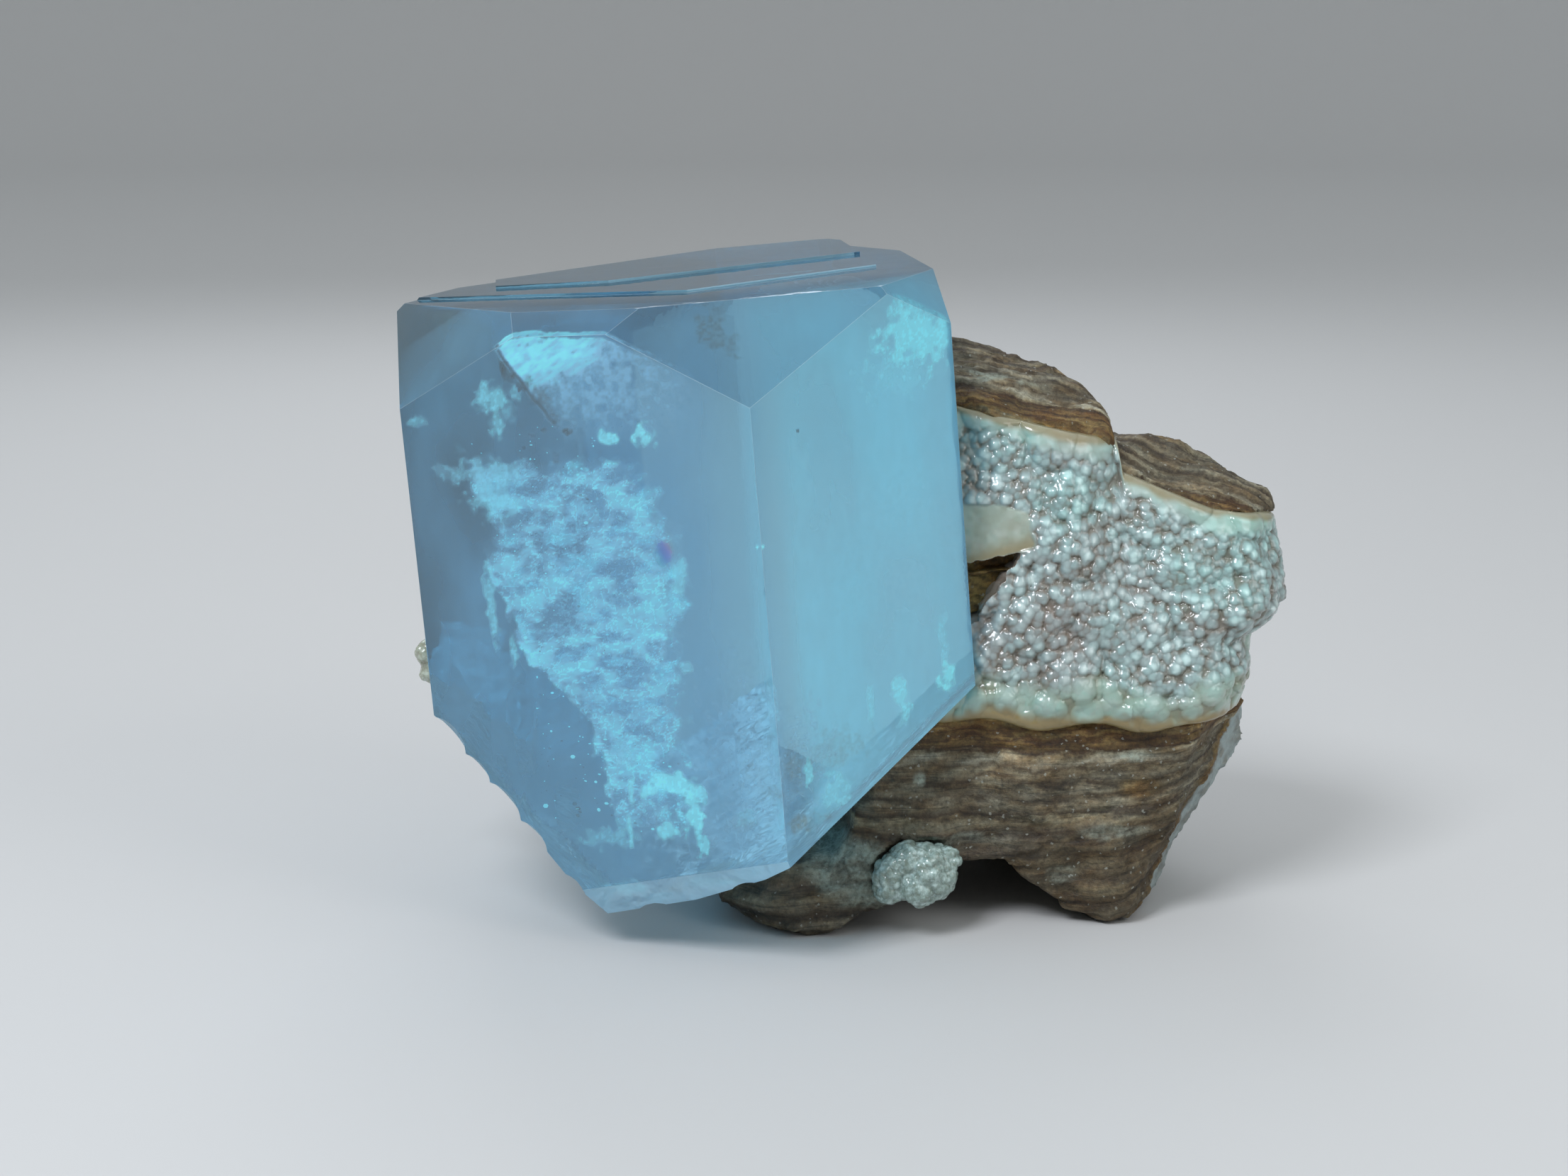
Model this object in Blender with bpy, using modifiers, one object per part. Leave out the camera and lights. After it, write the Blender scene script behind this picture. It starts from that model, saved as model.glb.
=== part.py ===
"""Aquamarine crystal standing on a loose lump of layered rock with a grape-like chalcedony crust.

Lengths below are in millimetres and become metres when a mesh is written. X runs to the right, Y to the
back and Z up. The specimen stands on Z = 0, and its box is centred on X = 0 and Y = 0.
"""

import math

import bmesh
import bpy
import numpy as np
from mathutils import Euler, Vector, noise

MM = 0.001
COLLECTION = "aquamarine_specimen"
CUTTERS = "cutters"
GAP = 0.3
# From the working frame of the lists below to the middle of the specimen's footprint.
SHIFT = Vector((0.17, 3.48, 0.0))

# --- Crystal -----------------------------------------------------------------------------------------------
CRYSTAL_ORIGIN = Vector((-5.4, -15.0, 31.14))
CRYSTAL_TURN = Euler((math.radians(-0.26), math.radians(-4.6), math.radians(5.93)), "XYZ")
CRYSTAL_REACH = 60.0
PRISM = 90.0
S_SLOPE = 44.93
P_SLOPE = 29.94
TOP_LEVELS = (26.88, 27.14, 27.4)
# Each natural face: the way that it faces round the long axis, its slope from that axis, its distance out.
CRYSTAL_FACES = (
    (180.0, PRISM, 32.2),
    (240.0, PRISM, 15.08),
    (300.0, PRISM, 12.13),
    (0.0, PRISM, 15.89),
    (20.0, PRISM, 22.96),
    (60.0, PRISM, 37.9),
    (90.0, PRISM, 38.2),
    (120.0, PRISM, 33.5),
    (210.0, S_SLOPE, 32.79),
    (270.0, S_SLOPE, 24.36),
    (330.0, S_SLOPE, 27.62),
    (30.0, S_SLOPE, 41.0),
    (150.0, S_SLOPE, 43.7),
    (240.0, P_SLOPE, 29.29),
    (0.0, 0.0, TOP_LEVELS[-1]),
)
# Risers round each terrace of the top face: the way that each faces, and its distance out.
TERRACE_RISERS = (
    ((237.0, 2.0), (293.0, -4.0), (0.0, 11.6)),
    ((246.0, -8.0), (284.0, -17.0), (180.0, 23.0), (0.0, 11.6)),
)
# Broken faces at the foot: a point on each, and the way that it faces.
BREAKS = (
    ((-29.4, -0.7, -12.5), (-0.80, 0.03, -0.59)),
    ((-22.1, -4.65, -22.7), (-0.66, 0.28, -0.70)),
    ((-19.8, -6.0, -24.0), (-0.44, -0.86, -0.26)),
    ((-18.3, -6.0, -26.5), (0.24, 0.0, -0.97)),
    ((-10.7, -10.4, -24.6), (0.37, 0.0, -0.93)),
    ((13.5, -6.2, -11.0), (0.523, 0.0, -0.852)),
)
# Shell-shaped scars: the break that each one is in, a point over it, its radius and its depth.
SCARS = (
    (0, (-30.4, 0.2, -10.0), 3.4, 0.8),
    (0, (-28.4, -0.9, -13.2), 3.0, 0.55),
    (0, (-26.4, -2.0, -16.2), 3.8, 0.75),
    (0, (-24.2, -3.4, -19.4), 3.2, 0.6),
    (0, (-31.0, 9.0, -10.0), 5.0, 0.8),
    (0, (-27.0, 12.0, -14.0), 11.0, 1.9),
    (0, (-31.0, 24.0, -6.0), 9.0, 1.4),
    (0, (-23.0, 24.0, -17.0), 10.0, 1.6),
    (1, (-21.0, -5.2, -23.6), 2.4, 0.4),
    (1, (-21.0, 6.0, -23.0), 6.5, 1.2),
    (3, (-14.5, -8.0, -25.5), 3.2, 0.35),
    (3, (-14.0, 12.0, -25.5), 9.0, 1.0),
    (4, (-6.5, -12.5, -23.0), 2.8, 0.35),
)
SCAR_SUBDIVISIONS = 3

# --- Crust -------------------------------------------------------------------------------------------------
CRUST_COLUMNS = 52
CRUST_ROWS = 44
CRUST_THICKNESS = 2.4
CRUST_LEFT = 6.0
CRUST_STEP = 25.7
CRUST_ROUND = 6.0
CRUST_ROUND_SHARE = 0.24
CRUST_WRAP = math.radians(118.0)
# Heights along the crust, each at its left end (for the second tier at the step) and per millimetre right.
CRUST_FOOT = (20.1, -0.04)
CRUST_UPPER_TOP = (47.2, -0.2)
CRUST_SECOND_TOP = (40.7, -0.36)
# How much the foot rises and the top sinks per radian round the corner.
CRUST_FOOT_RISE = 0.4
CRUST_TOP_SINK = 0.7
# The front leans back from this height on, by this much over its span, which is shorter on the right.
CRUST_FRONT = -17.0
CRUST_LEAN_FROM = 17.0
CRUST_LEAN = 6.6
CRUST_SPANS = (29.0, 22.0)
CRUST_BLEND = (21.5, 26.5)
CRUST_BULGE = 1.1
CRUST_RIPPLE = 0.7
CRUST_RIPPLE_LENGTH = 8.0
CRUST_STRAIGHT_END = 36.0
# Right edge of the crust seen from the front, from bottom to top: height, and how far right it reaches.
CRUST_EDGE_Z = (17.0, 19.7, 22.0, 24.7, 25.7, 27.1, 28.7, 31.1, 34.3, 37.0)
CRUST_EDGE_X = (36.0, 36.6, 37.1, 36.9, 37.1, 38.9, 40.5, 40.1, 39.3, 38.4)
CRUST_GRAIN = 2.2
CRUST_GRAIN_HEIGHT = 0.8
CRUST_LOBE = 3.4
CRUST_LOBE_HEIGHT = 1.5
CRUST_TRIANGLES = 3700
CRUST_ROOM = 5.0
SEAT_TRIANGLES = 1100

# --- Rock: each block is the hull of its corners -----------------------------------------------------------
ROCK_BLOCKS = {
    "upper tier": (
        (6.0, -10.5, 47.6), (24.2, -10.5, 44.2), (7.0, -2.0, 52.9), (13.1, -2.0, 51.6), (18.4, -2.0, 50.2),
        (22.6, -2.0, 48.5), (24.3, -2.0, 46.4), (24.6, -4.0, 40.0), (8.0, 10.0, 47.0), (21.0, 9.5, 43.5),
        (24.5, 6.0, 38.0), (4.0, -13.0, 18.0), (24.4, -13.0, 18.0), (24.4, 14.5, 18.0), (2.0, 17.0, 18.0),
    ),
    "second tier": (
        (20.0, -10.5, 40.6), (38.4, -9.6, 35.6), (22.0, -2.0, 43.3), (29.9, -2.0, 42.6), (34.9, -2.0, 40.8),
        (38.9, -2.0, 38.1), (40.2, -3.0, 35.6), (22.0, 9.0, 41.0), (33.0, 9.5, 37.5), (38.6, 6.0, 32.5),
        (22.0, -14.5, 17.0), (36.6, -11.0, 18.0), (39.6, -3.0, 28.5), (38.0, 4.5, 19.0), (32.0, 14.0, 17.0),
        (22.0, 16.0, 17.0),
    ),
    "middle": (
        (3.0, -16.2, 20.0), (32.0, -15.6, 20.0), (37.4, -7.0, 18.0), (36.0, 7.0, 18.0), (27.0, 16.5, 18.0),
        (-2.0, 19.0, 20.0), (0.0, -17.6, 6.0), (16.0, -17.0, 5.4), (29.5, -14.0, 7.0), (32.8, -8.0, 7.4),
        (31.5, 8.0, 7.0), (22.0, 17.0, 5.0), (-5.0, 19.0, 5.0),
    ),
    "left toe": (
        (-12.3, -15.5, 2.3), (-10.0, -19.0, 2.7), (-7.6, -19.4, 1.8), (-2.3, -20.6, 0.0), (1.1, -19.4, 1.6),
        (8.4, -19.0, 4.0), (9.0, -18.0, 9.0), (-4.0, -17.0, 6.5), (-12.0, -8.0, 4.0), (-11.0, 2.0, -0.6),
        (8.0, 4.0, 2.0), (8.0, 6.0, 10.0), (-9.0, 6.0, 6.0), (-1.0, -14.0, 0.0),
    ),
    "right foot": (
        (15.4, -16.8, 4.2), (18.8, -16.8, 1.6), (20.6, -16.6, 0.4), (26.0, -16.8, 0.0), (28.5, -11.0, 0.0),
        (31.2, -10.0, 6.2), (29.6, 4.0, 0.0), (19.0, 4.0, 0.0), (15.6, -17.6, 5.6), (24.6, -17.9, 9.2),
        (30.4, -15.0, 11.0), (31.4, 4.0, 10.0), (17.0, 4.0, 10.0),
    ),
    "back left foot": (
        (-13.0, 5.0, -1.0), (-10.0, 16.0, -1.0), (5.0, 19.0, -0.6), (6.0, 4.0, 0.0), (-15.0, 5.0, 5.0),
        (-12.0, 19.0, 7.0), (8.0, 22.0, 12.0), (8.0, 3.0, 12.0),
    ),
    "back right foot": (
        (14.0, 6.0, 0.0), (17.0, 16.0, 0.0), (26.0, 13.0, 0.0), (28.0, 3.0, 0.0), (11.0, 5.0, 10.0),
        (15.0, 19.0, 12.0), (28.0, 16.0, 12.0), (32.0, 3.0, 10.0),
    ),
}
# Thin flake of the rock's pale skin that stands proud of its right side.
FLAKE_CORNERS = (
    (36.9, -8.4, 17.3), (37.8, -7.2, 15.8), (37.5, -6.6, 14.4), (36.2, -7.0, 12.4), (34.7, -7.4, 10.5),
    (33.5, -8.0, 8.6), (32.0, -12.0, 16.4), (31.6, -12.0, 13.0), (30.4, -11.0, 9.6), (31.0, -5.6, 16.6),
    (30.0, -5.8, 10.4),
)
ROCK_VOXEL = 1.0
ROCK_TRIANGLES = 2900
ROCK_SWELLS = ((9.0, 1.3), (3.6, 0.55))
RECESS = (
    (6.0, -24.0, 26.0), (11.8, -24.0, 26.6), (14.1, -24.0, 29.8), (16.4, -24.0, 31.5), (16.9, -24.0, 33.6),
    (6.0, -24.0, 31.6), (6.0, -9.0, 27.0), (13.0, -9.0, 29.6), (15.6, -9.0, 32.6), (6.0, -9.0, 31.6),
)

# --- Small pieces: middle, radius and stretch of each rounded lobe -----------------------------------------
KNOB_LOBES = (
    ((7.3, -19.6, 6.4), 2.0), ((5.9, -19.6, 7.2), 1.5), ((9.3, -18.8, 6.9), 1.1), ((4.4, -19.6, 6.0), 1.5),
    ((6.7, -20.0, 5.0), 1.7), ((4.1, -19.8, 4.7), 1.3), ((8.4, -19.4, 5.4), 1.5), ((5.4, -18.4, 6.0), 2.0),
    ((7.6, -18.2, 6.2), 1.9),
)
KNOB_VOXEL = 0.45
KNOB_TRIANGLES = 520
BEAD_LOBES = (((-38.9, -3.0, 22.4), 1.4), ((-38.7, -2.6, 20.6), 1.3), ((-38.5, -1.0, 21.8), 1.5))
BEAD_VOXEL = 0.35
BEAD_TRIANGLES = 160
# Each material's colour, linear as a Principled shader takes it, and its roughness.
FINISHES = {
    "aquamarine": ((0.16, 0.38, 0.50), 0.08),
    "layered_rock": ((0.10, 0.075, 0.05), 0.8),
    "chalcedony": ((0.46, 0.45, 0.38), 0.4),
    "hyalite": ((0.42, 0.50, 0.42), 0.25),
    "cream_chalcedony": ((0.55, 0.52, 0.38), 0.45),
}


def clear_scene():
    """Remove every object that a new file starts with."""
    for item in list(bpy.data.objects):
        bpy.data.objects.remove(item, do_unlink=True)


def new_collection(name):
    """Add a collection to the scene."""
    collection = bpy.data.collections.new(name)
    bpy.context.scene.collection.children.link(collection)
    return collection


def finish(name):
    """Return the material of that name."""
    colour, roughness = FINISHES[name]
    material = bpy.data.materials.new(name)
    material.use_nodes = True
    shader = material.node_tree.nodes["Principled BSDF"]
    shader.inputs["Base Color"].default_value = (*colour, 1.0)
    shader.inputs["Roughness"].default_value = roughness
    shader.inputs["Metallic"].default_value = 0.0
    return material


def add_object(name, bm, collection):
    """Write a bmesh, drawn in millimetres, as a new object in metres."""
    bmesh.ops.recalc_face_normals(bm, faces=bm.faces[:])
    bmesh.ops.scale(bm, vec=Vector((MM, MM, MM)), verts=bm.verts[:])
    mesh = bpy.data.meshes.new(name)
    bm.to_mesh(mesh)
    bm.free()
    item = bpy.data.objects.new(name, mesh)
    collection.objects.link(item)
    return item


def hide_cutter(item):
    """Draw a cutter as a wire, and leave it out of renders."""
    item.hide_render = True
    item.display_type = "WIRE"
    return item


def bake(item):
    """Replace an object's mesh by what its modifiers make of it."""
    bpy.context.view_layer.update()
    evaluated = item.evaluated_get(bpy.context.evaluated_depsgraph_get())
    item.data = bpy.data.meshes.new_from_object(evaluated)
    item.modifiers.clear()


def boolean(item, other, operation):
    """Join another solid to this one, or cut it away, and bake the result."""
    modifier = item.modifiers.new(other.name, "BOOLEAN")
    modifier.operation = operation
    modifier.solver = "EXACT"
    modifier.object = other
    bake(item)


def remesh(item, voxel):
    """Give a solid an even skin of cells of that size."""
    modifier = item.modifiers.new("even skin", "REMESH")
    modifier.mode = "VOXEL"
    modifier.voxel_size = voxel * MM
    bake(item)


def thin_out(item, triangles):
    """Merge small triangles until about that many are left."""
    item.data.calc_loop_triangles()
    modifier = item.modifiers.new("fewer faces", "DECIMATE")
    modifier.ratio = min(1.0, triangles / len(item.data.loop_triangles))
    bake(item)


def swell(item, swells, seed):
    """Push the skin in and out by smooth noise, given as pairs of wavelength and height."""
    offset = Vector((seed, 2.0 * seed, 3.0 * seed))
    normals = [vertex.normal.copy() for vertex in item.data.vertices]
    for vertex, normal in zip(item.data.vertices, normals):
        place = vertex.co / MM
        rise = sum(height * noise.noise(place / length + offset) for length, height in swells)
        vertex.co += normal * rise * MM


def facing(azimuth, slope):
    """Return the unit vector at that angle round the Z axis and that angle from it."""
    around = math.radians(azimuth)
    away = math.radians(slope)
    return Vector((math.sin(away) * math.cos(around), math.sin(away) * math.sin(around), math.cos(away)))


def cut_solid(planes):
    """Cut a big cube down to what lies behind every plane, each a normal and a distance."""
    bm = bmesh.new()
    bmesh.ops.create_cube(bm, size=2.0 * CRYSTAL_REACH)
    for normal, distance in planes:
        everything = bm.verts[:] + bm.edges[:] + bm.faces[:]
        cut = bmesh.ops.bisect_plane(
            bm, geom=everything, plane_co=normal * distance, plane_no=normal, clear_outer=True
        )
        rim = [part for part in cut["geom_cut"] if isinstance(part, bmesh.types.BMEdge)]
        bmesh.ops.edgeloop_fill(bm, edges=rim)
    return bm


def crystal_planes(grow):
    """List the crystal's natural and broken faces, each moved out by that much."""
    planes = [(facing(azimuth, slope), distance + grow) for azimuth, slope, distance in CRYSTAL_FACES]
    for point, direction in BREAKS:
        normal = Vector(direction).normalized()
        planes.append((normal, normal.dot(Vector(point)) + grow))
    return planes


def place_crystal(item):
    """Lean, turn and shift an object from the crystal's own axes to the specimen."""
    item.location = (CRYSTAL_ORIGIN + SHIFT) * MM
    item.rotation_euler = CRYSTAL_TURN
    return item


def terrace_cutter(number, side, cutters):
    """Box that clears one level of the top face in front of a riser."""
    azimuth, distance = TERRACE_RISERS[number][side]
    bm = bmesh.new()
    bmesh.ops.create_cube(bm, size=2.0 * CRYSTAL_REACH)
    centre = facing(azimuth, PRISM) * (distance + CRYSTAL_REACH)
    centre.z = TOP_LEVELS[number] + CRYSTAL_REACH
    turn = Euler((0.0, 0.0, math.radians(azimuth))).to_matrix()
    bmesh.ops.rotate(bm, verts=bm.verts[:], matrix=turn)
    bmesh.ops.translate(bm, verts=bm.verts[:], vec=centre)
    return place_crystal(hide_cutter(add_object(f"terrace_{number}_{side}", bm, cutters)))


def ball_cutter(number, cutters):
    """Ball that leaves one shell-shaped scar of its depth in a broken face."""
    face, place, radius, depth = SCARS[number]
    point, direction = BREAKS[face]
    normal = Vector(direction).normalized()
    above = normal.dot(Vector(place) - Vector(point))
    centre = Vector(place) + normal * (radius - depth - above)
    bm = bmesh.new()
    bmesh.ops.create_icosphere(bm, subdivisions=SCAR_SUBDIVISIONS, radius=radius)
    bmesh.ops.translate(bm, verts=bm.verts[:], vec=centre)
    return place_crystal(hide_cutter(add_object(f"scar_{number}", bm, cutters)))


def make_crystal(parts, cutters):
    """Flat-faced hexagonal prism with bevelled top, low terraces and a broken foot."""
    crystal = place_crystal(add_object("aquamarine_crystal", cut_solid(crystal_planes(0.0)), parts))
    for number in range(len(TERRACE_RISERS)):
        for side in range(len(TERRACE_RISERS[number])):
            boolean(crystal, terrace_cutter(number, side, cutters), "DIFFERENCE")
    for number in range(len(SCARS)):
        boolean(crystal, ball_cutter(number, cutters), "DIFFERENCE")
    crystal.data.materials.append(finish("aquamarine"))
    return crystal


def crust_edge(z):
    """How far right the crust reaches at that height."""
    return float(np.interp(z, CRUST_EDGE_Z, CRUST_EDGE_X))


def crust_bend(s):
    """Angle that the crust has turned through at s, from 0 on the front."""
    return CRUST_WRAP * max(s - 1.0 + CRUST_ROUND_SHARE, 0.0) / CRUST_ROUND_SHARE


def crust_facing(s):
    """Level direction that the crust faces at s."""
    return Vector((math.sin(crust_bend(s)), -math.cos(crust_bend(s)), 0.0))


def crust_form(s, t):
    """Smooth front of the crust: s runs round it from the crystal to the right side, t from foot to top."""
    straight = min(s / (1.0 - CRUST_ROUND_SHARE), 1.0)
    angle = crust_bend(s)
    along = straight * (CRUST_STRAIGHT_END - CRUST_LEFT)
    run = CRUST_LEFT + along
    lower = CRUST_FOOT[0] + CRUST_FOOT[1] * along + CRUST_FOOT_RISE * (math.sin(0.55 * run) + angle)
    if run < CRUST_STEP:
        top = CRUST_UPPER_TOP[0] + CRUST_UPPER_TOP[1] * along
    else:
        top = CRUST_SECOND_TOP[0] + CRUST_SECOND_TOP[1] * (run - CRUST_STEP) - CRUST_TOP_SINK * angle
    z = lower + t * (top - lower)
    span = float(np.interp(run, CRUST_BLEND, CRUST_SPANS))
    y = CRUST_FRONT + CRUST_LEAN * max((z - CRUST_LEAN_FROM) / span, 0.0) ** 1.4
    y += 1.3 * CRUST_ROUND * (1.0 - math.cos(angle)) - CRUST_BULGE * math.sin(math.pi * straight)
    x = CRUST_LEFT + straight * (crust_edge(z) - CRUST_ROUND - CRUST_LEFT) + CRUST_ROUND * math.sin(angle)
    y += CRUST_RIPPLE * noise.noise(Vector((x, 0.0, z)) / CRUST_RIPPLE_LENGTH)
    return Vector((x, y, z))


def dome(place, size):
    """Height of a field of rounded grains at a place: 1 on a grain's crown, 0 in the grooves."""
    distances, _ = noise.voronoi(place / size)
    return math.sqrt(max(0.0, 1.0 - (distances[0] / 0.8) ** 2))


def grain_height(place):
    """How far the grains stand out at a place: small ones above, larger lobes along the foot."""
    foot = min(max((23.5 - place.z) / 4.0, 0.0), 1.0)
    small = CRUST_GRAIN_HEIGHT * dome(place, CRUST_GRAIN)
    large = CRUST_LOBE_HEIGHT * dome(place, CRUST_LOBE)
    return (1.0 - foot) * small + foot * large


def crust_slab(name, margin, front, back, grains, collection):
    """Slab that follows the crust's front, from that far before it to that far behind it.

    The margin widens it by that share of its width. With grains its outer face carries rounded grains.
    """
    bm = bmesh.new()
    bmesh.ops.create_grid(bm, x_segments=CRUST_COLUMNS, y_segments=CRUST_ROWS, size=0.5)
    outer = bm.verts[:]
    made = bmesh.ops.extrude_face_region(bm, geom=bm.faces[:], use_keep_orig=True)
    inner = [part for part in made["geom"] if isinstance(part, bmesh.types.BMVert)]
    for vertices, out in ((outer, front), (inner, -back)):
        for vertex in vertices:
            s = (vertex.co.x + 0.5) * (1.0 + 2.0 * margin) - margin
            t = (vertex.co.y + 0.5) * (1.0 + 2.0 * margin) - margin
            place = crust_form(s, t)
            rise = grain_height(place) if grains and out == front else 0.0
            vertex.co = place + crust_facing(s) * (out + rise)
    return add_object(name, bm, collection)


def make_crust(parts, clearance, recess):
    """Sheet of fused, rounded grains that wraps from the crystal round the rock's right side."""
    crust = crust_slab("botryoidal_crust", 0.0, 0.0, CRUST_THICKNESS, True, parts)
    thin_out(crust, CRUST_TRIANGLES)
    crust.location = SHIFT * MM
    boolean(crust, clearance, "DIFFERENCE")
    boolean(crust, recess, "DIFFERENCE")
    crust.data.materials.append(finish("chalcedony"))
    return crust


def crust_seat(cutters):
    """Room that the crust takes in the rock, from in front of it to a gap behind it."""
    seat = crust_slab("crust_seat", 0.015, CRUST_ROOM, CRUST_THICKNESS + GAP, False, cutters)
    thin_out(seat, SEAT_TRIANGLES)
    seat.location = SHIFT * MM
    return hide_cutter(seat)


def hull(name, corners, collection):
    """Convex block round a list of corners."""
    bm = bmesh.new()
    for corner in corners:
        bm.verts.new(corner)
    made = bmesh.ops.convex_hull(bm, input=bm.verts[:])
    inner = [part for part in made["geom_interior"] if isinstance(part, bmesh.types.BMVert)]
    bmesh.ops.delete(bm, geom=inner, context="VERTS")
    return add_object(name, bm, collection)


def lobes(name, balls, grow, collection):
    """Balls that overlap in one lump, each grown by that much."""
    bm = bmesh.new()
    for centre, radius in balls:
        made = bmesh.ops.create_icosphere(bm, subdivisions=3, radius=radius + grow)
        bmesh.ops.translate(bm, verts=made["verts"], vec=Vector(centre))
    return add_object(name, bm, collection)


def make_lump(name, balls, voxel, triangles, material, parts):
    """One closed lump of rounded lobes."""
    lump = lobes(name, balls, 0.0, parts)
    remesh(lump, voxel)
    swell(lump, ((1.6, 0.25),), 5.0)
    thin_out(lump, triangles)
    lump.location = SHIFT * MM
    lump.data.materials.append(finish(material))
    return lump


def make_rock(parts, cutters, away):
    """Layered rock: two steps on top, two front feet with an arch between them, and a broad back."""
    rock = None
    for name, corners in ROCK_BLOCKS.items():
        if rock is None:
            rock = hull("matrix_rock", corners, parts)
        else:
            block = hull(name.replace(" ", "_"), corners, cutters)
            boolean(rock, hide_cutter(block), "UNION")
    remesh(rock, ROCK_VOXEL)
    swell(rock, ROCK_SWELLS, 1.0)
    thin_out(rock, ROCK_TRIANGLES)
    boolean(rock, hide_cutter(hull("flake", FLAKE_CORNERS, cutters)), "UNION")
    rock.location = SHIFT * MM
    for cutter in away:
        boolean(rock, cutter, "DIFFERENCE")
    rock.data.materials.append(finish("layered_rock"))
    return rock


def floor_cutter(cutters):
    """Box under the specimen that leaves small flats on its feet."""
    bm = bmesh.new()
    bmesh.ops.create_cube(bm, size=2.0 * CRYSTAL_REACH)
    bmesh.ops.translate(bm, verts=bm.verts[:], vec=Vector((0.0, 0.0, -CRYSTAL_REACH)))
    return hide_cutter(add_object("ground", bm, cutters))


def clear_of(name, balls, cutters):
    """Cutter that leaves a gap round a lump."""
    cutter = hide_cutter(lobes(name, balls, 2.0 * GAP, cutters))
    remesh(cutter, KNOB_VOXEL)
    thin_out(cutter, KNOB_TRIANGLES)
    cutter.location = SHIFT * MM
    return cutter


def main():
    clear_scene()
    parts = new_collection(COLLECTION)
    cutters = new_collection(CUTTERS)
    make_crystal(parts, cutters)
    clearance = place_crystal(hide_cutter(add_object("crystal_room", cut_solid(crystal_planes(GAP)), cutters)))
    recess = hide_cutter(hull("recess", RECESS, cutters))
    recess.location = SHIFT * MM
    make_crust(parts, clearance, recess)
    knob_room = clear_of("knob_room", KNOB_LOBES, cutters)
    away = (clearance, crust_seat(cutters), recess, knob_room, floor_cutter(cutters))
    make_rock(parts, cutters, away)
    knob = make_lump("hyalite_knob", KNOB_LOBES, KNOB_VOXEL, KNOB_TRIANGLES, "hyalite", parts)
    boolean(knob, clearance, "DIFFERENCE")
    bead = make_lump("cream_bead", BEAD_LOBES, BEAD_VOXEL, BEAD_TRIANGLES, "cream_chalcedony", parts)
    boolean(bead, clearance, "DIFFERENCE")


main()
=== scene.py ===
"""Aquamarine crystal on a lump of layered rock with a grape-like chalcedony crust, dressed for rendering.

Lengths are in millimetres in the row frame (X right, Y back, Z up) until a mesh is written, in metres.
"""

import math

import bmesh
import bpy
import numpy as np
from mathutils import Euler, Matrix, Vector


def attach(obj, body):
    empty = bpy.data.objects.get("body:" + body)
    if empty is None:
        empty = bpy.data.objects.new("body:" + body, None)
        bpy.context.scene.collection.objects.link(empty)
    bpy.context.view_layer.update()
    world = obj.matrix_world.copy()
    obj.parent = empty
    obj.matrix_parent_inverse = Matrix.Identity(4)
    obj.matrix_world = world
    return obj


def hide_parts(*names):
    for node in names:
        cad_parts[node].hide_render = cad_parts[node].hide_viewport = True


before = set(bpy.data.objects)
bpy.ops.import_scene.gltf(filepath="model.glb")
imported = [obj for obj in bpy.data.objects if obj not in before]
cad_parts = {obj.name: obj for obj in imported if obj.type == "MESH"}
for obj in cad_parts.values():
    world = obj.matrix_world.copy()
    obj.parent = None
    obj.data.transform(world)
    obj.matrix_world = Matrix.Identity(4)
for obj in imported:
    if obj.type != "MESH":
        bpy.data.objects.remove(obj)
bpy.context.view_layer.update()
MM = 0.001

# --- Crystal: its own axes, as in the solid ---
SHIFT = np.array((0.17, 3.48, 0.0))
CRYSTAL_ORIGIN = np.array((-5.23, -11.52, 31.14))
CRYSTAL_ANGLES = [math.radians(angle) for angle in (-0.26, -4.6, 5.93)]
CRYSTAL_TURN = np.array(Euler(CRYSTAL_ANGLES, "XYZ").to_matrix())
CRYSTAL_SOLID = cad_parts["aquamarine_crystal"].data
# Azimuth round the long axis, slope from it and distance out of the faces that have something under them.
LEFT_FACE = (240.0, 90.0, 15.08)
RIGHT_FACE = (300.0, 90.0, 12.13)
TOP_FACE = (0.0, 0.0, 26.9)
FRONT_BEVEL = (270.0, 44.9, 24.36)
BROKEN_FOOT = (242.9, 105.1, 20.1)
# Rounding of its worn edges, and the gap left round it by what touches it.
EDGE_WEAR = 0.12
ROOM = 0.12
# Faces that meet at less than the first angle are one. Past the second their edge shades sharp, and past
# the third it is worn round.
FLAT_ANGLE = math.radians(0.6)
SHARP_ANGLE = math.radians(16.0)
EDGE_ANGLE = math.radians(20.0)
# Areas in square millimetres past which a face of the solid bounds what is inside it, and past which it
# counts as a face at all.
BIG_FACE = 12.0
SMALL_FACE = 0.6
# Cosine of the angle past which two faces look different ways.
SAME_WAY = 0.9985
# Depths under the surface between which the sheets inside fade in.
SURFACE_FADE = (0.15, 0.7)

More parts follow.
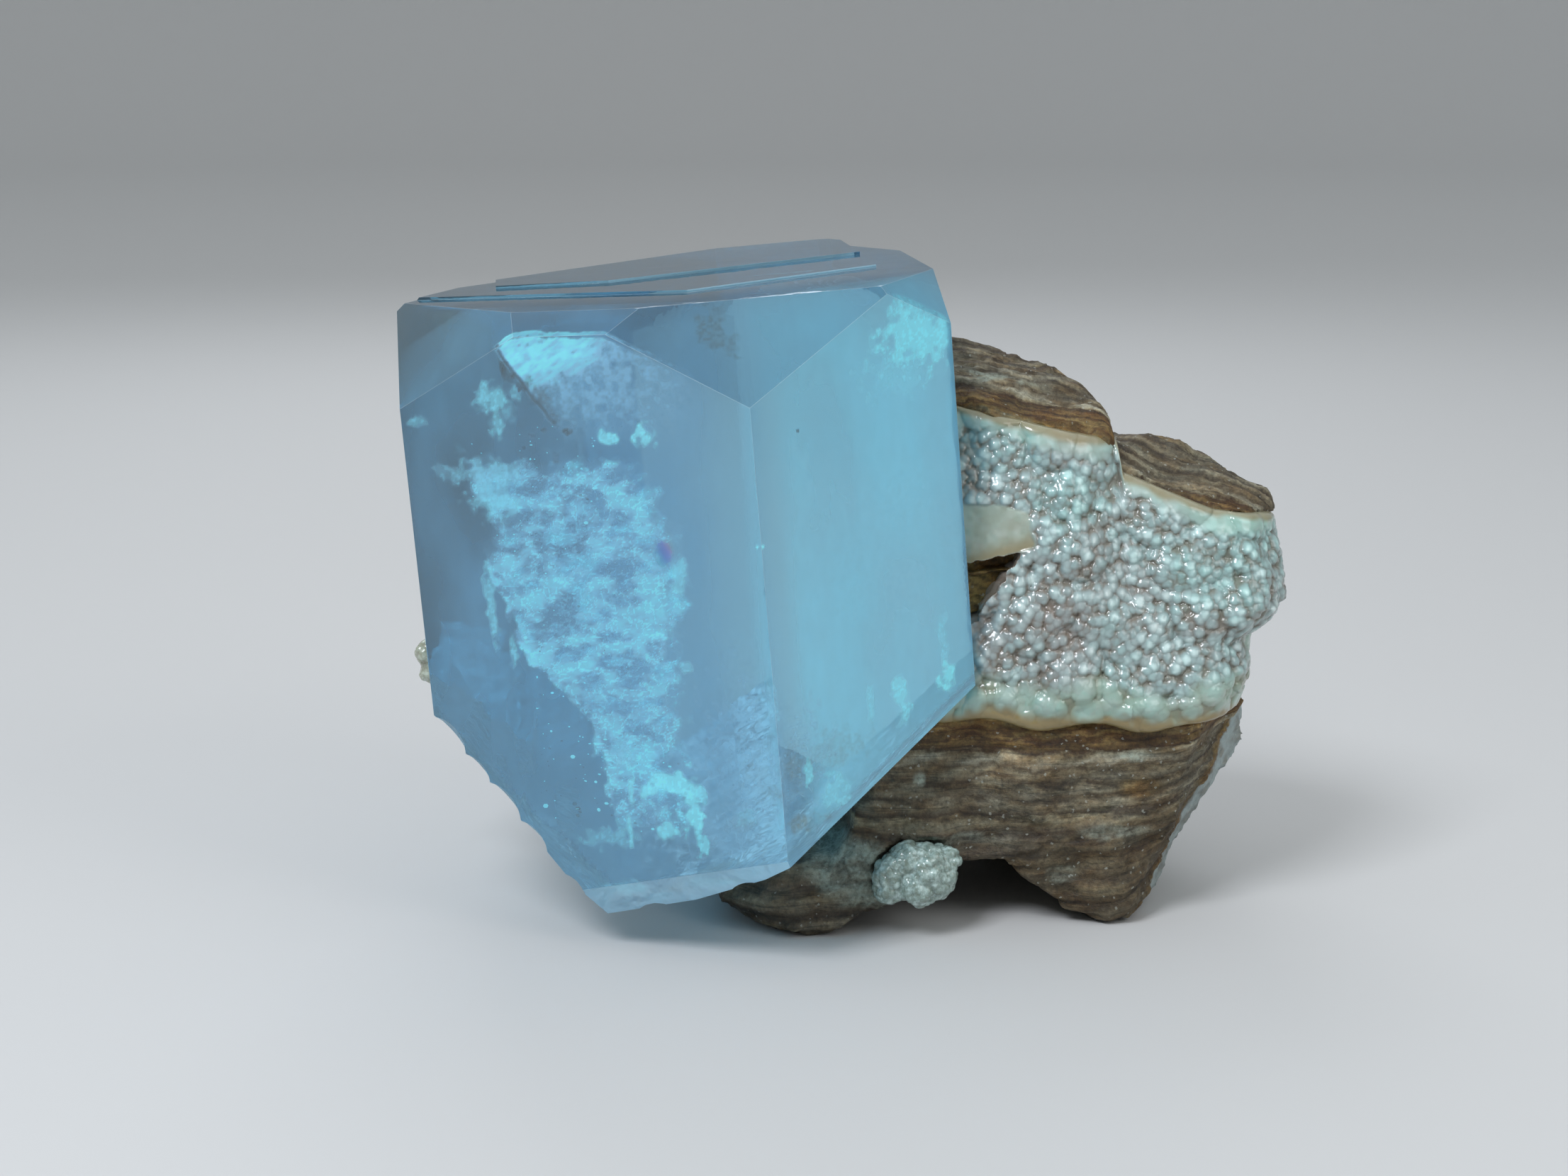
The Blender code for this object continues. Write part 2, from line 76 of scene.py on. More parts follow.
# --- Patches under the crystal's faces ---
# Each is how far across and up its face, its half width and half height, how dense and how bright.
LEFT_SPOTS = (
    (-20.3, 20.0, 1.0, 1.1, 0.8, 0.85), (-18.7, 19.8, 1.1, 1.2, 0.8, 0.9), (-17.0, 20.4, 0.8, 0.7, 0.5, 0.8),
    (-18.0, 18.6, 1.0, 0.8, 0.4, 0.8), (-19.0, 17.3, 0.7, 1.1, 0.7, 0.85), (-27.3, 17.8, 1.1, 0.5, 0.6, 0.8),
    (-8.3, 16.4, 0.7, 0.8, 0.9, 1.0), (-5.1, 16.2, 0.95, 0.9, 1.0, 1.0), (-17.9, 24.0, 0.35, 0.8, 0.9, 0.0),
    (-17.8, 22.6, 0.4, 1.0, 0.85, 0.0), (-17.2, 21.7, 0.7, 0.7, 0.8, 0.02),
    (-16.1, 20.9, 0.8, 0.6, 0.75, 0.03), (-15.0, 20.0, 0.8, 0.7, 0.65, 0.05),
    (-14.0, 19.0, 0.7, 0.8, 0.6, 0.05), (-13.2, 18.0, 0.5, 0.8, 0.6, 0.03),
    (-12.2, 16.9, 0.45, 0.3, 0.9, 0.03), (-7.4, 23.5, 0.5, 0.2, 0.7, 0.15), (-5.4, 23.4, 0.3, 0.2, 0.6, 0.15),
    (-24.5, 13.6, 1.6, 0.5, 0.5, 0.7), (-21.0, 13.3, 3.6, 1.0, 0.7, 0.75), (-20.0, 11.0, 2.4, 1.6, 0.6, 0.8),
    (-14.5, 17.0, 0.6, 0.25, 0.7, 0.08), (-15.8, 16.6, 0.4, 0.2, 0.6, 0.1), (-13.6, 14.6, 0.3, 0.5, 0.5, 0.1),
    (-2.9, 4.4, 0.7, 1.6, 0.6, 0.9), (-3.2, -3.6, 0.7, 0.5, 0.7, 0.8), (-12.0, -19.5, 2.5, 0.8, 0.5, 0.8),
    (-21.6, 1.2, 0.5, 3.4, 0.7, 0.85), (-19.8, -2.6, 0.4, 1.6, 0.7, 0.85), (-9.8, -11.5, 1.2, 1.4, 0.5, 0.7),
    (-5.6, -14.1, 2.6, 0.9, 1.0, 1.0), (-7.6, -14.8, 0.9, 0.8, 1.0, 1.0), (-3.6, -16.6, 0.9, 2.8, 1.0, 1.0),
    (-2.9, -15.0, 0.7, 1.1, 0.9, 0.9), (-7.1, -16.8, 1.3, 1.4, 0.5, 0.42), (-6.4, -18.5, 1.1, 0.8, 0.9, 0.95),
    (-9.5, -15.2, 0.3, 1.2, 0.9, 0.9), (-10.0, -18.8, 0.35, 1.4, 0.8, 0.95),
    (-2.6, -19.6, 0.3, 0.9, 0.9, 0.95), (1.6, -16.9, 1.3, 0.9, 0.6, 0.7), (2.2, -12.0, 4.6, 7.0, 0.4, 0.5),
    (0.0, -18.6, 5.0, 2.4, 0.4, 0.55),
)
RIGHT_SPOTS = (
    (8.5, 22.5, 4.0, 3.0, 0.85, 0.95), (6.0, 20.0, 4.0, 2.4, 0.45, 0.8), (3.4, -9.0, 0.9, 2.1, 0.85, 0.9),
    (8.9, -8.2, 1.0, 1.3, 1.0, 1.0), (8.6, -5.0, 0.6, 2.6, 0.5, 0.8), (-9.9, -6.6, 0.3, 2.4, 0.5, 0.7),
    (0.1, -8.4, 0.5, 1.8, 0.6, 0.8), (4.0, 4.0, 6.0, 5.0, 0.18, 0.7), (-9.9, 6.9, 0.2, 0.2, 1.0, 1.0),
    (-5.3, 16.0, 0.2, 0.2, 0.9, 0.05), (-7.4, -12.6, 3.4, 4.2, 0.45, 0.55),
    (-4.4, -15.6, 1.6, 1.6, 0.6, 0.85), (-7.0, -13.4, 0.5, 1.6, 0.8, 0.9),
)
FOOT_SPOTS = (
    (-14.9, -20.6, 2.2, 1.0, 0.7, 0.7), (-11.8, -19.4, 2.0, 0.7, 0.6, 0.85),
    (-8.0, -20.4, 2.4, 0.8, 0.6, 0.7), (-3.4, -18.4, 2.2, 0.6, 0.6, 0.85), (1.5, -17.4, 2.0, 0.6, 0.5, 0.7),
    (-4.0, -20.0, 3.0, 0.8, 0.5, 0.6),
)
# Sheets of patches, bright or dark and then rusty: name, face, depth, seed, extent over the face, patches.
VEIL_SPOTS = (
    ("left_spots", LEFT_FACE, 0.9, 201, (-30.0, 6.5, -23.0, 23.0), LEFT_SPOTS),
    ("right_spots", RIGHT_FACE, 1.2, 221, (-11.0, 14.0, -20.0, 26.5), RIGHT_SPOTS),
    ("top_streaks", TOP_FACE, 0.6, 241, (8.0, 32.0, -20.0, 20.0), (
        (9.6, -3.0, 0.5, 3.6, 0.6, 0.8), (14.0, 4.0, 0.5, 7.0, 0.3, 0.3), (19.0, -2.0, 0.7, 9.0, 0.3, 0.6),
    )),
    ("foot_spots", BROKEN_FOOT, 0.5, 281, (-19.0, 5.0, -24.0, -14.0), FOOT_SPOTS),
)
STAINS = (
    ("bevel_stain", FRONT_BEVEL, 0.8, 261, (-11.0, 1.0, 4.0, 16.0), (
        (-5.0, 11.2, 1.3, 2.4, 0.45, 0.5), (-3.6, 9.0, 0.8, 1.2, 0.3, 0.5),
    )),
    ("left_stain", LEFT_FACE, 0.45, 291, (-2.0, 6.5, -20.0, -9.0), (
        (2.9, -12.7, 1.0, 0.9, 0.5, 0.5), (3.9, -14.2, 1.1, 0.7, 0.45, 0.5),
        (0.8, -17.4, 1.2, 0.6, 0.35, 0.5),
    )),
    ("right_stain", RIGHT_FACE, 0.6, 301, (-11.0, 1.0, -20.0, -8.0), (
        (-7.9, -17.4, 1.8, 0.9, 0.55, 0.5), (-4.5, -12.0, 3.6, 1.6, 0.25, 0.5),
        (-8.8, -12.4, 1.0, 2.2, 0.3, 0.5),
    )),
    ("foot_stain", BROKEN_FOOT, 0.3, 311, (-12.0, 3.0, -22.0, -16.0), (
        (-6.4, -19.2, 3.2, 0.35, 0.5, 0.5), (-1.0, -18.0, 1.6, 0.3, 0.4, 0.5),
    )),
)
# Clouds under the left face: name, depth, seed and strength.
CLOUDS = (("cloud_front", 2.9, 101, 1.2), ("cloud_back", 4.9, 131, 1.0))
# Cloudy growth zones: name, face, depth, seed, extent over the face, strength and brightness.
HAZES = (
    ("haze_left", LEFT_FACE, 7.5, 151, (-34.0, 2.0, -32.0, 32.0), 0.6, 0.3),
    ("haze_right", RIGHT_FACE, 6.5, 171, (-6.5, 16.5, -24.0, 30.0), 0.55, 0.75),
)
# How many tiny flakes and bubbles there are.
FLAKES = 380
# Outlines: the feather's top as heights over the way across, the others as ways across over the height.
FEATHER_TOP = (
    (-18.6, -17.6, -17.0, -8.4, -6.7, -3.8, 0.0, 4.5),
    (24.0, 24.9, 25.1, 24.9, 24.2, 22.9, 20.6, 17.6),
)
FEATHER_LEFT = ((16.5, 19.0, 21.7, 24.2, 25.5), (-13.0, -14.9, -17.1, -18.7, -18.8))
CLOUD_LEFT = (
    (-21.0, -13.0, -8.0, -3.8, -0.5, 4.6, 9.0, 12.0, 15.0),
    (-11.5, -13.0, -14.5, -19.2, -20.9, -22.4, -21.5, -23.2, -24.0),
)
CLOUD_RIGHT = ((-21.0, -13.0, -4.0, 5.0, 13.0, 15.0), (-4.5, -5.0, -4.0, -2.8, -6.0, -10.0))

# --- Crust: the same sweep as the solid ---
# It runs from beside the crystal, past the step between its two tiers, to a round right end that turns back.
CRUST_LEFT = 6.0
CRUST_STEP = 25.7
CRUST_END = 36.0
# Radius of that end, the share of the way that it takes, and the angle that it turns through.
CRUST_ROUND = 6.0
CRUST_ROUND_SHARE = 0.24
CRUST_WRAP = math.radians(118.0)
# How far right that end reaches, over the height.
CRUST_EDGE_Z = (17.0, 19.7, 22.0, 24.7, 25.7, 27.1, 28.7, 31.1, 34.3, 37.0)
CRUST_EDGE_X = (36.5, 37.1, 37.6, 37.4, 37.6, 39.4, 41.0, 40.6, 40.2, 39.7)
# Height of the foot, of each tier's top rim where it starts, and how far that falls with each millimetre.
CRUST_FOOT = 20.0
CRUST_TOPS = (47.2, 40.7)
CRUST_FALLS = (0.2, 0.36)
# Rough height of each tier, from foot to top.
CRUST_HEIGHTS = (25.0, 20.0)
# Y of its front at the foot, how far that leans back by the top, and how far it bows forward.
CRUST_FRONT = -17.0
CRUST_LEAN = 6.6
CRUST_BOW = 1.1
# Rough length and height of the sweep.
CRUST_SPAN = (45.0, 22.0)
# How far behind the sweep's front its deepest grooves are, its back is, and how much more near the top.
CRUST_SINK = 0.75
CRUST_THICKNESS = 2.3
CRUST_SHELF = 1.3
# Radius of its rims, and how far right it may reach.
CRUST_RIM = 0.8
CRUST_LIMIT = 41.1
# Cell sizes of the heaps of balls.
CLUSTER_CELL = 3.4
GRAIN_CELL = 0.74
KNOB_CELL = 1.7
# Columns along the sweep, and rows up its front and down its back.
CRUST_COLUMNS = 440
CRUST_ROWS = 236
CRUST_BACK = 12
# The sweep goes a little past 0 and 1, so that its rims sink into the rock.
CRUST_T_LOW = -0.03
CRUST_T_HIGH = 1.025
CRUST_S_END = 1.012
# Parts of the front that lean to green, or to violet grey where the share is below zero: middle and half
# size in the front view, and the share.
CRUST_REGIONS = (
    ((34.5, 33.5), (5.5, 5.0), 0.45), ((20.0, 39.0), (4.0, 2.5), 0.3), ((19.0, 29.0), (9.0, 6.0), -0.32),
)
# Ledge beside the crystal: its lower and upper heights, how far right it reaches and how it slopes.
LEDGE_LOW = 33.4
LEDGE_HIGH = 38.6
LEDGE_RIGHT = 17.2
LEDGE_SLOPE = 0.27
# Bay beside the crystal, where the crust is broken away: the corners of its cutter. Then the right end, the
# heights, the back limit and the forward reach of the rock that closes it.
RECESS_CORNERS = (
    (6.0, -24.0, 26.0), (10.6, -24.0, 26.0), (11.5, -24.0, 27.8), (15.7, -24.0, 32.6), (16.4, -24.0, 34.9),
    (6.0, -24.0, 32.1), (6.0, -9.0, 26.5), (11.2, -9.0, 28.2), (15.3, -9.0, 34.0), (6.0, -9.0, 32.1),
)
BAY_RIGHT = 17.6
BAY_HEIGHTS = (24.0, 36.0)
BAY_BACK = -7.5
BAY_FORWARD = 4.4

# --- Rock ---
# Where the right side is at the foot, and how far right it leans with each millimetre up.
SIDE_FOOT = 28.5
SIDE_LEAN = 0.5
# How far layers and lumps stand out.
LAYER_RELIEF = 0.22
LUMP_RELIEF = 0.14
# Depth after which the layers run back, and the tone of each by its share of that depth.
LAYER_REPEAT = 15.0
ROCK_LAYERS = (
    (0.0, "#a8a180"), (0.03, "#9a8048"), (0.06, "#654823"), (0.09, "#8f784a"), (0.12, "#553b1d"),
    (0.15, "#80693f"), (0.185, "#503a20"), (0.215, "#8f8871"), (0.25, "#aba795"), (0.29, "#655a47"),
    (0.33, "#8b8571"), (0.37, "#544b3c"), (0.42, "#8a8573"), (0.47, "#5d5546"), (0.52, "#8f8a78"),
    (0.57, "#4e4435"), (0.62, "#948e78"), (0.69, "#54493a"), (0.76, "#7b7566"), (0.84, "#4b4236"),
    (0.92, "#77705f"), (1.0, "#5d564b"),
)
# Crusts of pale grains on the rock's front: middle and half size in the front view, and how dense.
PLATES = (
    ((0.8, 6.0), (4.2, 2.4), 0.9), ((4.6, 3.2), (4.6, 0.9), 0.85), ((9.8, 8.4), (3.8, 0.6), 0.5),
    ((26.3, 15.8), (1.6, 0.4), 0.9), ((6.8, 13.9), (0.5, 0.8), 0.9), ((19.8, 4.8), (1.4, 0.7), 0.5),
    ((24.8, 8.9), (3.2, 0.5), 0.45),
)

# Cell sizes of the even skins that the rock, the two lumps and the recess get.
ROCK_SKIN = 0.34
LUMP_SKIN = 0.13
RECESS_SKIN = 0.25

# --- Room: camera, floor and lights ---
CAMERA_PLACE = (-5.23, -246.28, 81.04)
LENS = 61.6
SENSOR_WIDTH = 36.0
# How far the floor is flat, the radius that it bends up on, and the height of the wall.
FLOOR_REACH = 1300.0
FLOOR_BEND = 600.0
WALL_HEIGHT = 1500.0
LIGHT_TARGET = (0.0, 0.0, 30.0)
# Name, place, side, power in watts and tint.
LIGHTS = (
    ("key", (-190.0, -300.0, 420.0), 180.0, 1.7, "#f4f8ff"),
    ("fill", (330.0, -220.0, 260.0), 260.0, 0.4, "#ffffff"),
    ("back", (-60.0, 380.0, 330.0), 260.0, 0.5, "#f4f8ff"),
)


# --- Noise over whole arrays ---
def corner_value(cells, seed):
    """Even pseudo-random number from 0 to 1 for each whole-number cell: its three coordinates hashed."""
    x, y, z = np.moveaxis(cells.astype(np.int64), -1, 0)
    mixed = (x * 73856093) ^ (y * 19349663) ^ (z * 83492791) ^ (seed * 40503 + 977)
    mixed = ((mixed ^ (mixed >> 13)) * 1274126177) & 0x7FFFFFFF
    mixed = ((mixed ^ (mixed >> 15)) * 668265263) & 0x7FFFFFFF
    return ((mixed ^ (mixed >> 14)) & 0xFFFF) / 65535.0


def joined(*parts):
    """Points from arrays of their coordinates, or from one number for them all."""
    return np.stack(np.broadcast_arrays(*parts), axis=-1)


def smooth_noise(points, seed=0):
    """Noise from -1 to 1: values at the corners of a unit lattice blended by 6t^5 - 15t^4 + 10t^3."""
    base = np.floor(points)
    part = points - base
    fade = part**3 * (part * (part * 6.0 - 15.0) + 10.0)
    total = np.zeros(points.shape[:-1])
    for corner in np.ndindex(2, 2, 2):
        weight = np.prod(np.where(corner, fade, 1.0 - fade), axis=-1)
        total += weight * corner_value(base + corner, seed)
    return 2.0 * total - 1.0


def fractal(points, octaves, seed=0):
    """Sum of noises, each of twice the frequency and half the height of the one before."""
    return sum(smooth_noise(points * 2.0**k, seed + k) / 2.0**k for k in range(octaves))


def grains(points, small, large, floor=0.0, seed=0):
    """Height of a heap of balls, one in each unit cell, with a radius between small and large.

    Each point takes the highest of radius^2 - distance^2 over the cells round it, adds the floor, which
    fuses the balls at their feet, and takes the root. The second array is that ball's own random number.
    """
    base = np.floor(points)
    best = np.full(points.shape[:-1], -9.0)
    owner = np.zeros(points.shape[:-1])
    for corner in np.ndindex(3, 3, 3):
        cell = base + np.array(corner) - 1.0
        place = np.stack([corner_value(cell, seed + k) for k in range(3)], axis=-1)
        radius = small + (large - small) * corner_value(cell, seed + 3)
        rise = radius**2 - np.sum((points - cell - place) ** 2, axis=-1)
        owner = np.where(rise > best, corner_value(cell, seed + 4), owner)
        best = np.maximum(best, rise)
    return np.sqrt(np.maximum(best + floor, 0.0)), owner


def step(value, *limits):
    """Smooth step: 0 below low, 1 above high, 3t^2 - 2t^3 between. One limit alone is high, and low is 0."""
    low, high = limits if len(limits) == 2 else (0.0, *limits)
    t = np.clip((value - low) / (high - low), 0.0, 1.0)
    return t * t * (3.0 - 2.0 * t)


def blob(x, z, centre, size):
    """1 within an ellipse in the front view and 0 outside it, with a soft edge."""
    return step(1.3 - np.hypot((x - centre[0]) / size[0], (z - centre[1]) / size[1]), 0.6)


# --- Meshes ---
def new_object(name, data):
    """Object in the scene for a mesh, a light or a camera."""
    made = bpy.data.objects.new(name, data)
    bpy.context.scene.collection.objects.link(made)
    return made


def new_piece(name, mesh):
    """Object for a finished mesh, which rides on the body."""
    piece = new_object(name, mesh)
    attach(piece, "root")
    return piece


def mesh_of(name, points, faces):
    """Mesh from an array of points in millimetres and one of faces, shaded smooth."""
    mesh = bpy.data.meshes.new(name)
    mesh.from_pydata(points.reshape(-1, 3) * MM, [], faces)
    mesh.shade_smooth()
    mesh.update()
    return mesh


def grid_faces(rows, columns, ring=False):
    """Four corners of each cell of a grid of points, whose columns close into a ring if asked."""
    index = np.arange(rows * columns).reshape(rows, columns)
    if ring:
        index = np.concatenate([index, index[:, :1]], axis=1)
    corners = (index[:-1, :-1], index[:-1, 1:], index[1:, 1:], index[1:, :-1])
    return np.stack(corners, axis=-1).reshape(-1, 4)


def attributes(mesh, domain="POINT", **values):
    """Store numbers under their names: one of each for every vertex, or for every face."""
    for name, numbers in values.items():
        made = mesh.attributes.new(name, "FLOAT", domain)
        made.data.foreach_set("value", np.ravel(numbers).astype(np.float32))


def face_values(mesh, name, width):
    """What a mesh says of each of its faces, such as its normal: one row of numbers for each."""
    values = np.empty(width * len(mesh.polygons))
    mesh.polygons.foreach_get(name, values)
    return values.reshape(-1, width)


def read_points(mesh):
    """Vertices of a mesh in millimetres, and their normals."""
    points = np.empty(3 * len(mesh.vertices), np.float32)
    normals = np.empty(3 * len(mesh.vertices), np.float32)
    mesh.vertices.foreach_get("co", points)
    mesh.vertex_normals.foreach_get("vector", normals)
    return points.reshape(-1, 3).astype(float) / MM, normals.reshape(-1, 3).astype(float)


def write_points(mesh, points):
    """Move a mesh's vertices to an array of places in millimetres."""
    mesh.vertices.foreach_set("co", (points * MM).astype(np.float32).ravel())
    mesh.update()


def write_closed(work, mesh):
    """Turn a closed working mesh's faces outward, write it to a mesh and let it go."""
    bmesh.ops.recalc_face_normals(work, faces=work.faces[:])
    work.to_mesh(mesh)
    work.free()


def merged_copy(node):
    """Copy of a CAD node's mesh with its loose triangles joined."""
    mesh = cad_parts[node].data.copy()
    mesh.materials.clear()
    work = bmesh.new()
    work.from_mesh(mesh)
    bmesh.ops.remove_doubles(work, verts=work.verts[:], dist=1e-6)
    write_closed(work, mesh)
    return mesh


def take_place(piece, node, finish):
    """Shade a piece smooth, give it its one finish and let it stand for a CAD node."""
    piece.data.shade_smooth()
    piece.data.materials.clear()
    piece.data.materials.append(finish)
    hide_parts(node)


def modify(piece, kind, **settings):
    """Replace a piece's mesh by what one modifier, with its settings, makes of it."""
    modifier = piece.modifiers.new("change", kind)
    for key, value in settings.items():
        setattr(modifier, key, value)
    bpy.context.view_layer.update()
    made = bpy.data.meshes.new_from_object(piece.evaluated_get(bpy.context.evaluated_depsgraph_get()))
    piece.modifiers.clear()
    piece.data = made


def even_skin(piece, cell):
    """Give a closed piece an even skin of cells of that size in millimetres."""
    modify(piece, "REMESH", mode="VOXEL", voxel_size=cell * MM, use_smooth_shade=True)


def cut_away(piece, cutter):
    """Take a closed cutter out of a closed piece."""
    modify(piece, "BOOLEAN", operation="DIFFERENCE", solver="MANIFOLD", object=cutter)


# --- Materials ---
def colour(code):
    """Linear colour of an sRGB hex code, with full alpha."""
    parts = [int(code[k : k + 2], 16) / 255.0 for k in (1, 3, 5)]
    linear = [c / 12.92 if c <= 0.04045 else ((c + 0.055) / 1.055) ** 2.4 for c in parts]
    return (*linear, 1.0)


def connect(node, inputs):
    """Link or set inputs of a node by name or number. A node among the values stands for its first output."""
    for key, value in dict(inputs).items():
        if isinstance(value, bpy.types.Node):
            value = next(output for output in value.outputs if output.enabled)
        if isinstance(value, bpy.types.NodeSocket):
            node.id_data.links.new(value, node.inputs[key])
        else:
            node.inputs[key].default_value = value


def add(tree, kind, inputs=(), stops=(), **settings):
    """Add a shader node with its settings, its ramp stops if it has any, and its inputs' links or values."""
    made = tree.nodes.new("ShaderNode" + kind)
    for key, value in settings.items():
        setattr(made, key, value)
    if stops:
        elements = made.color_ramp.elements
        while len(elements) < len(stops):
            elements.new(1.0)
        for element, (place, code) in zip(elements, stops):
            element.position = place
            element.color = colour(code)
    connect(made, inputs)
    return made


def material(name, *attributes):
    """New material: itself, its node tree, its Principled shader, and mesh attributes to read in it."""
    made = bpy.data.materials.new(name)
    made.use_nodes = True
    tree = made.node_tree
    read = [add(tree, "Attribute", attribute_name=each).outputs["Fac"] for each in attributes]
    return made, tree, tree.nodes["Principled BSDF"], read


def beryl():
    """Clear beryl, tinted by iron: pale blue that deepens with the length of the way through.

    The tone is painted shade and light, one for each face: darkest on the top and the bevels at its front
    and right, lightest on the right prism face. Broken faces ripple in shells and pass less light, and worn
    edges are frosted white, partly as wear and partly as a painted highlight along them.
    """
    made, tree, shader, read = material("clear aquamarine beryl", "tone", "worn", "broken")
    tone, worn, broken = read
    place = add(tree, "TexCoord").outputs["Object"]
    # Painted shade and light: each face's tone sets how dark or light its tint is.
    tint_and_painted_face_shade = add(tree, "ValToRGB", {"Fac": tone}, ((0.0, "#9cc0d0"), (0.5, "#cdecf8"), (1.0, "#d8f8ff")))
    # Worn edges: frosted wear, and near white as a painted highlight along them.
    frost_and_painted_edge_highlight = add(tree, "Mix", {0: worn, 6: tint_and_painted_face_shade, 7: colour("#f2fcff")}, data_type="RGBA")
    whole = add(tree, "MapRange", {"Value": worn, "To Min": 0.9, "To Max": 0.3})
    clear = add(tree, "Math", {0: broken, 1: -0.22, 2: whole}, operation="MULTIPLY_ADD")
    dull = add(tree, "Math", {0: worn, 1: broken}, operation="MAXIMUM")
    rough = add(tree, "MapRange", {"Value": dull, "To Min": 0.03, "To Max": 0.4})
    shells = add(tree, "TexNoise", {"Vector": place, "Scale": 300.0, "Detail": 3.0, "Distortion": 0.3})
    relief = add(tree, "MapRange", {"Value": broken, "To Min": 0.025})
    bump = add(tree, "Bump", {"Height": shells, "Strength": relief, "Distance": 1.2 * MM})
    body = add(tree, "VolumeAbsorption", {"Color": colour("#54d0e8"), "Density": 20.0})
    connect(shader, {"Base Color": frost_and_painted_edge_highlight, "Transmission Weight": clear, "Roughness": rough, "Normal": bump})
    connect(shader, {"IOR": 1.577})
    connect(tree.nodes["Material Output"], {"Volume": body})
    return made


def veil_finish():
    """Healed fractures and clouds of fluid inclusions: they scatter light white where they are dense.

    A little glow stands for the light that comes through from behind and is scattered on to the eye. It is
    too faint to be sampled as a lamp.
    """
    made, tree, shader, (cover, shade) = material("healed fractures in beryl", "cover", "shade")
    tones = ((0.0, "#3c3a3c"), (0.3, "#7cb0ce"), (0.6, "#aadcf6"), (0.8, "#a0f0ff"), (1.0, "#a0faff"))
    glows = ((0.0, "#000000"), (0.3, "#527a90"), (0.6, "#7497aa"), (1.0, "#90f8ff"))
    tone = add(tree, "ValToRGB", {"Fac": shade}, tones)
    glow = add(tree, "ValToRGB", {"Fac": shade}, glows)
    connect(shader, {"Base Color": tone, "Alpha": cover, "Roughness": 0.5})
    connect(shader, {"Emission Color": glow, "Emission Strength": 0.36})
    made.cycles.emission_sampling = "NONE"
    return made


def stain_finish():
    """Trace of iron oxide in a crack: faint yellow-brown."""
    made, _, shader, (cover,) = material("iron stain in a crack", "cover")
    connect(shader, {"Base Color": colour("#9a8462"), "Alpha": cover, "Roughness": 0.6})
    return made


def rainbow_finish():
    """Air-thin crack: colours of a thin film, cyan through violet to rose."""
    made, tree, shader, (cover, shade) = material("thin film in a crack", "cover", "shade")
    tones = ((0.0, "#39c3e8"), (0.35, "#5f8df0"), (0.6, "#a27ff0"), (0.8, "#e28bd0"), (1.0, "#f0d0a0"))
    tone = add(tree, "ValToRGB", {"Fac": shade}, tones)
    connect(shader, {"Base Color": tone, "Alpha": cover, "Roughness": 0.3})
    return made


def chalcedony():
    """Botryoidal chalcedony: pearly grains with brownish grooves, plain and creamy where the crust is smooth.

    Patches of it lean to green or to violet grey, and its rims are stained ochre. It looks wet: a soft inside
    under a clear polished coat. The near-white tone at the tip of each grain is a painted highlight.
    """
    made, tree, shader, read = material("botryoidal chalcedony", "crown", "smooth", "own", "ochre")
    crown, smooth, own, ochre = read
    place = add(tree, "TexCoord").outputs["Object"]
    # Painted highlight: the near-white top stop lights each grain's tip; the brownish low stops are its
    # grooves.
    pearls_and_painted_tip_highlight = ((0.2, "#958c80"), (0.42, "#9a9a94"), (0.62, "#a6b2b1"), (0.78, "#bbcbca"), (0.93, "#ebf8f6"))
    creams = ((0.0, "#9a967e"), (0.4, "#b0baaa"), (0.8, "#bfcec4"), (1.0, "#dfeee8"))
    grain = add(tree, "ValToRGB", {"Fac": crown}, pearls_and_painted_tip_highlight)
    plain = add(tree, "ValToRGB", {"Fac": crown}, creams)
    mixed = add(tree, "Mix", {0: smooth, 6: grain, 7: plain}, data_type="RGBA")
    cloudy = add(tree, "TexNoise", {"Vector": place, "Scale": 150.0, "Detail": 2.0})
    either = add(tree, "Mix", {0: 0.4, 2: own, 3: cloudy})
    hue = add(tree, "ValToRGB", {"Fac": either}, ((0.22, "#dcd6d4"), (0.5, "#deebea"), (0.78, "#cff0ec")))
    tint = add(tree, "Mix", {0: 0.9, 6: mixed, 7: hue}, data_type="RGBA", blend_type="MULTIPLY")
    earthy = add(tree, "Mix", {0: ochre, 6: tint, 7: colour("#8e7d52")}, data_type="RGBA")
    connect(shader, {"Base Color": earthy, "Roughness": 0.3, "Coat Weight": 0.9, "Coat Roughness": 0.1})
    connect(shader, {"Subsurface Weight": 0.45, "Subsurface Radius": (1.0, 0.95, 0.9)})
    connect(shader, {"Subsurface Scale": 0.7 * MM})
    return made


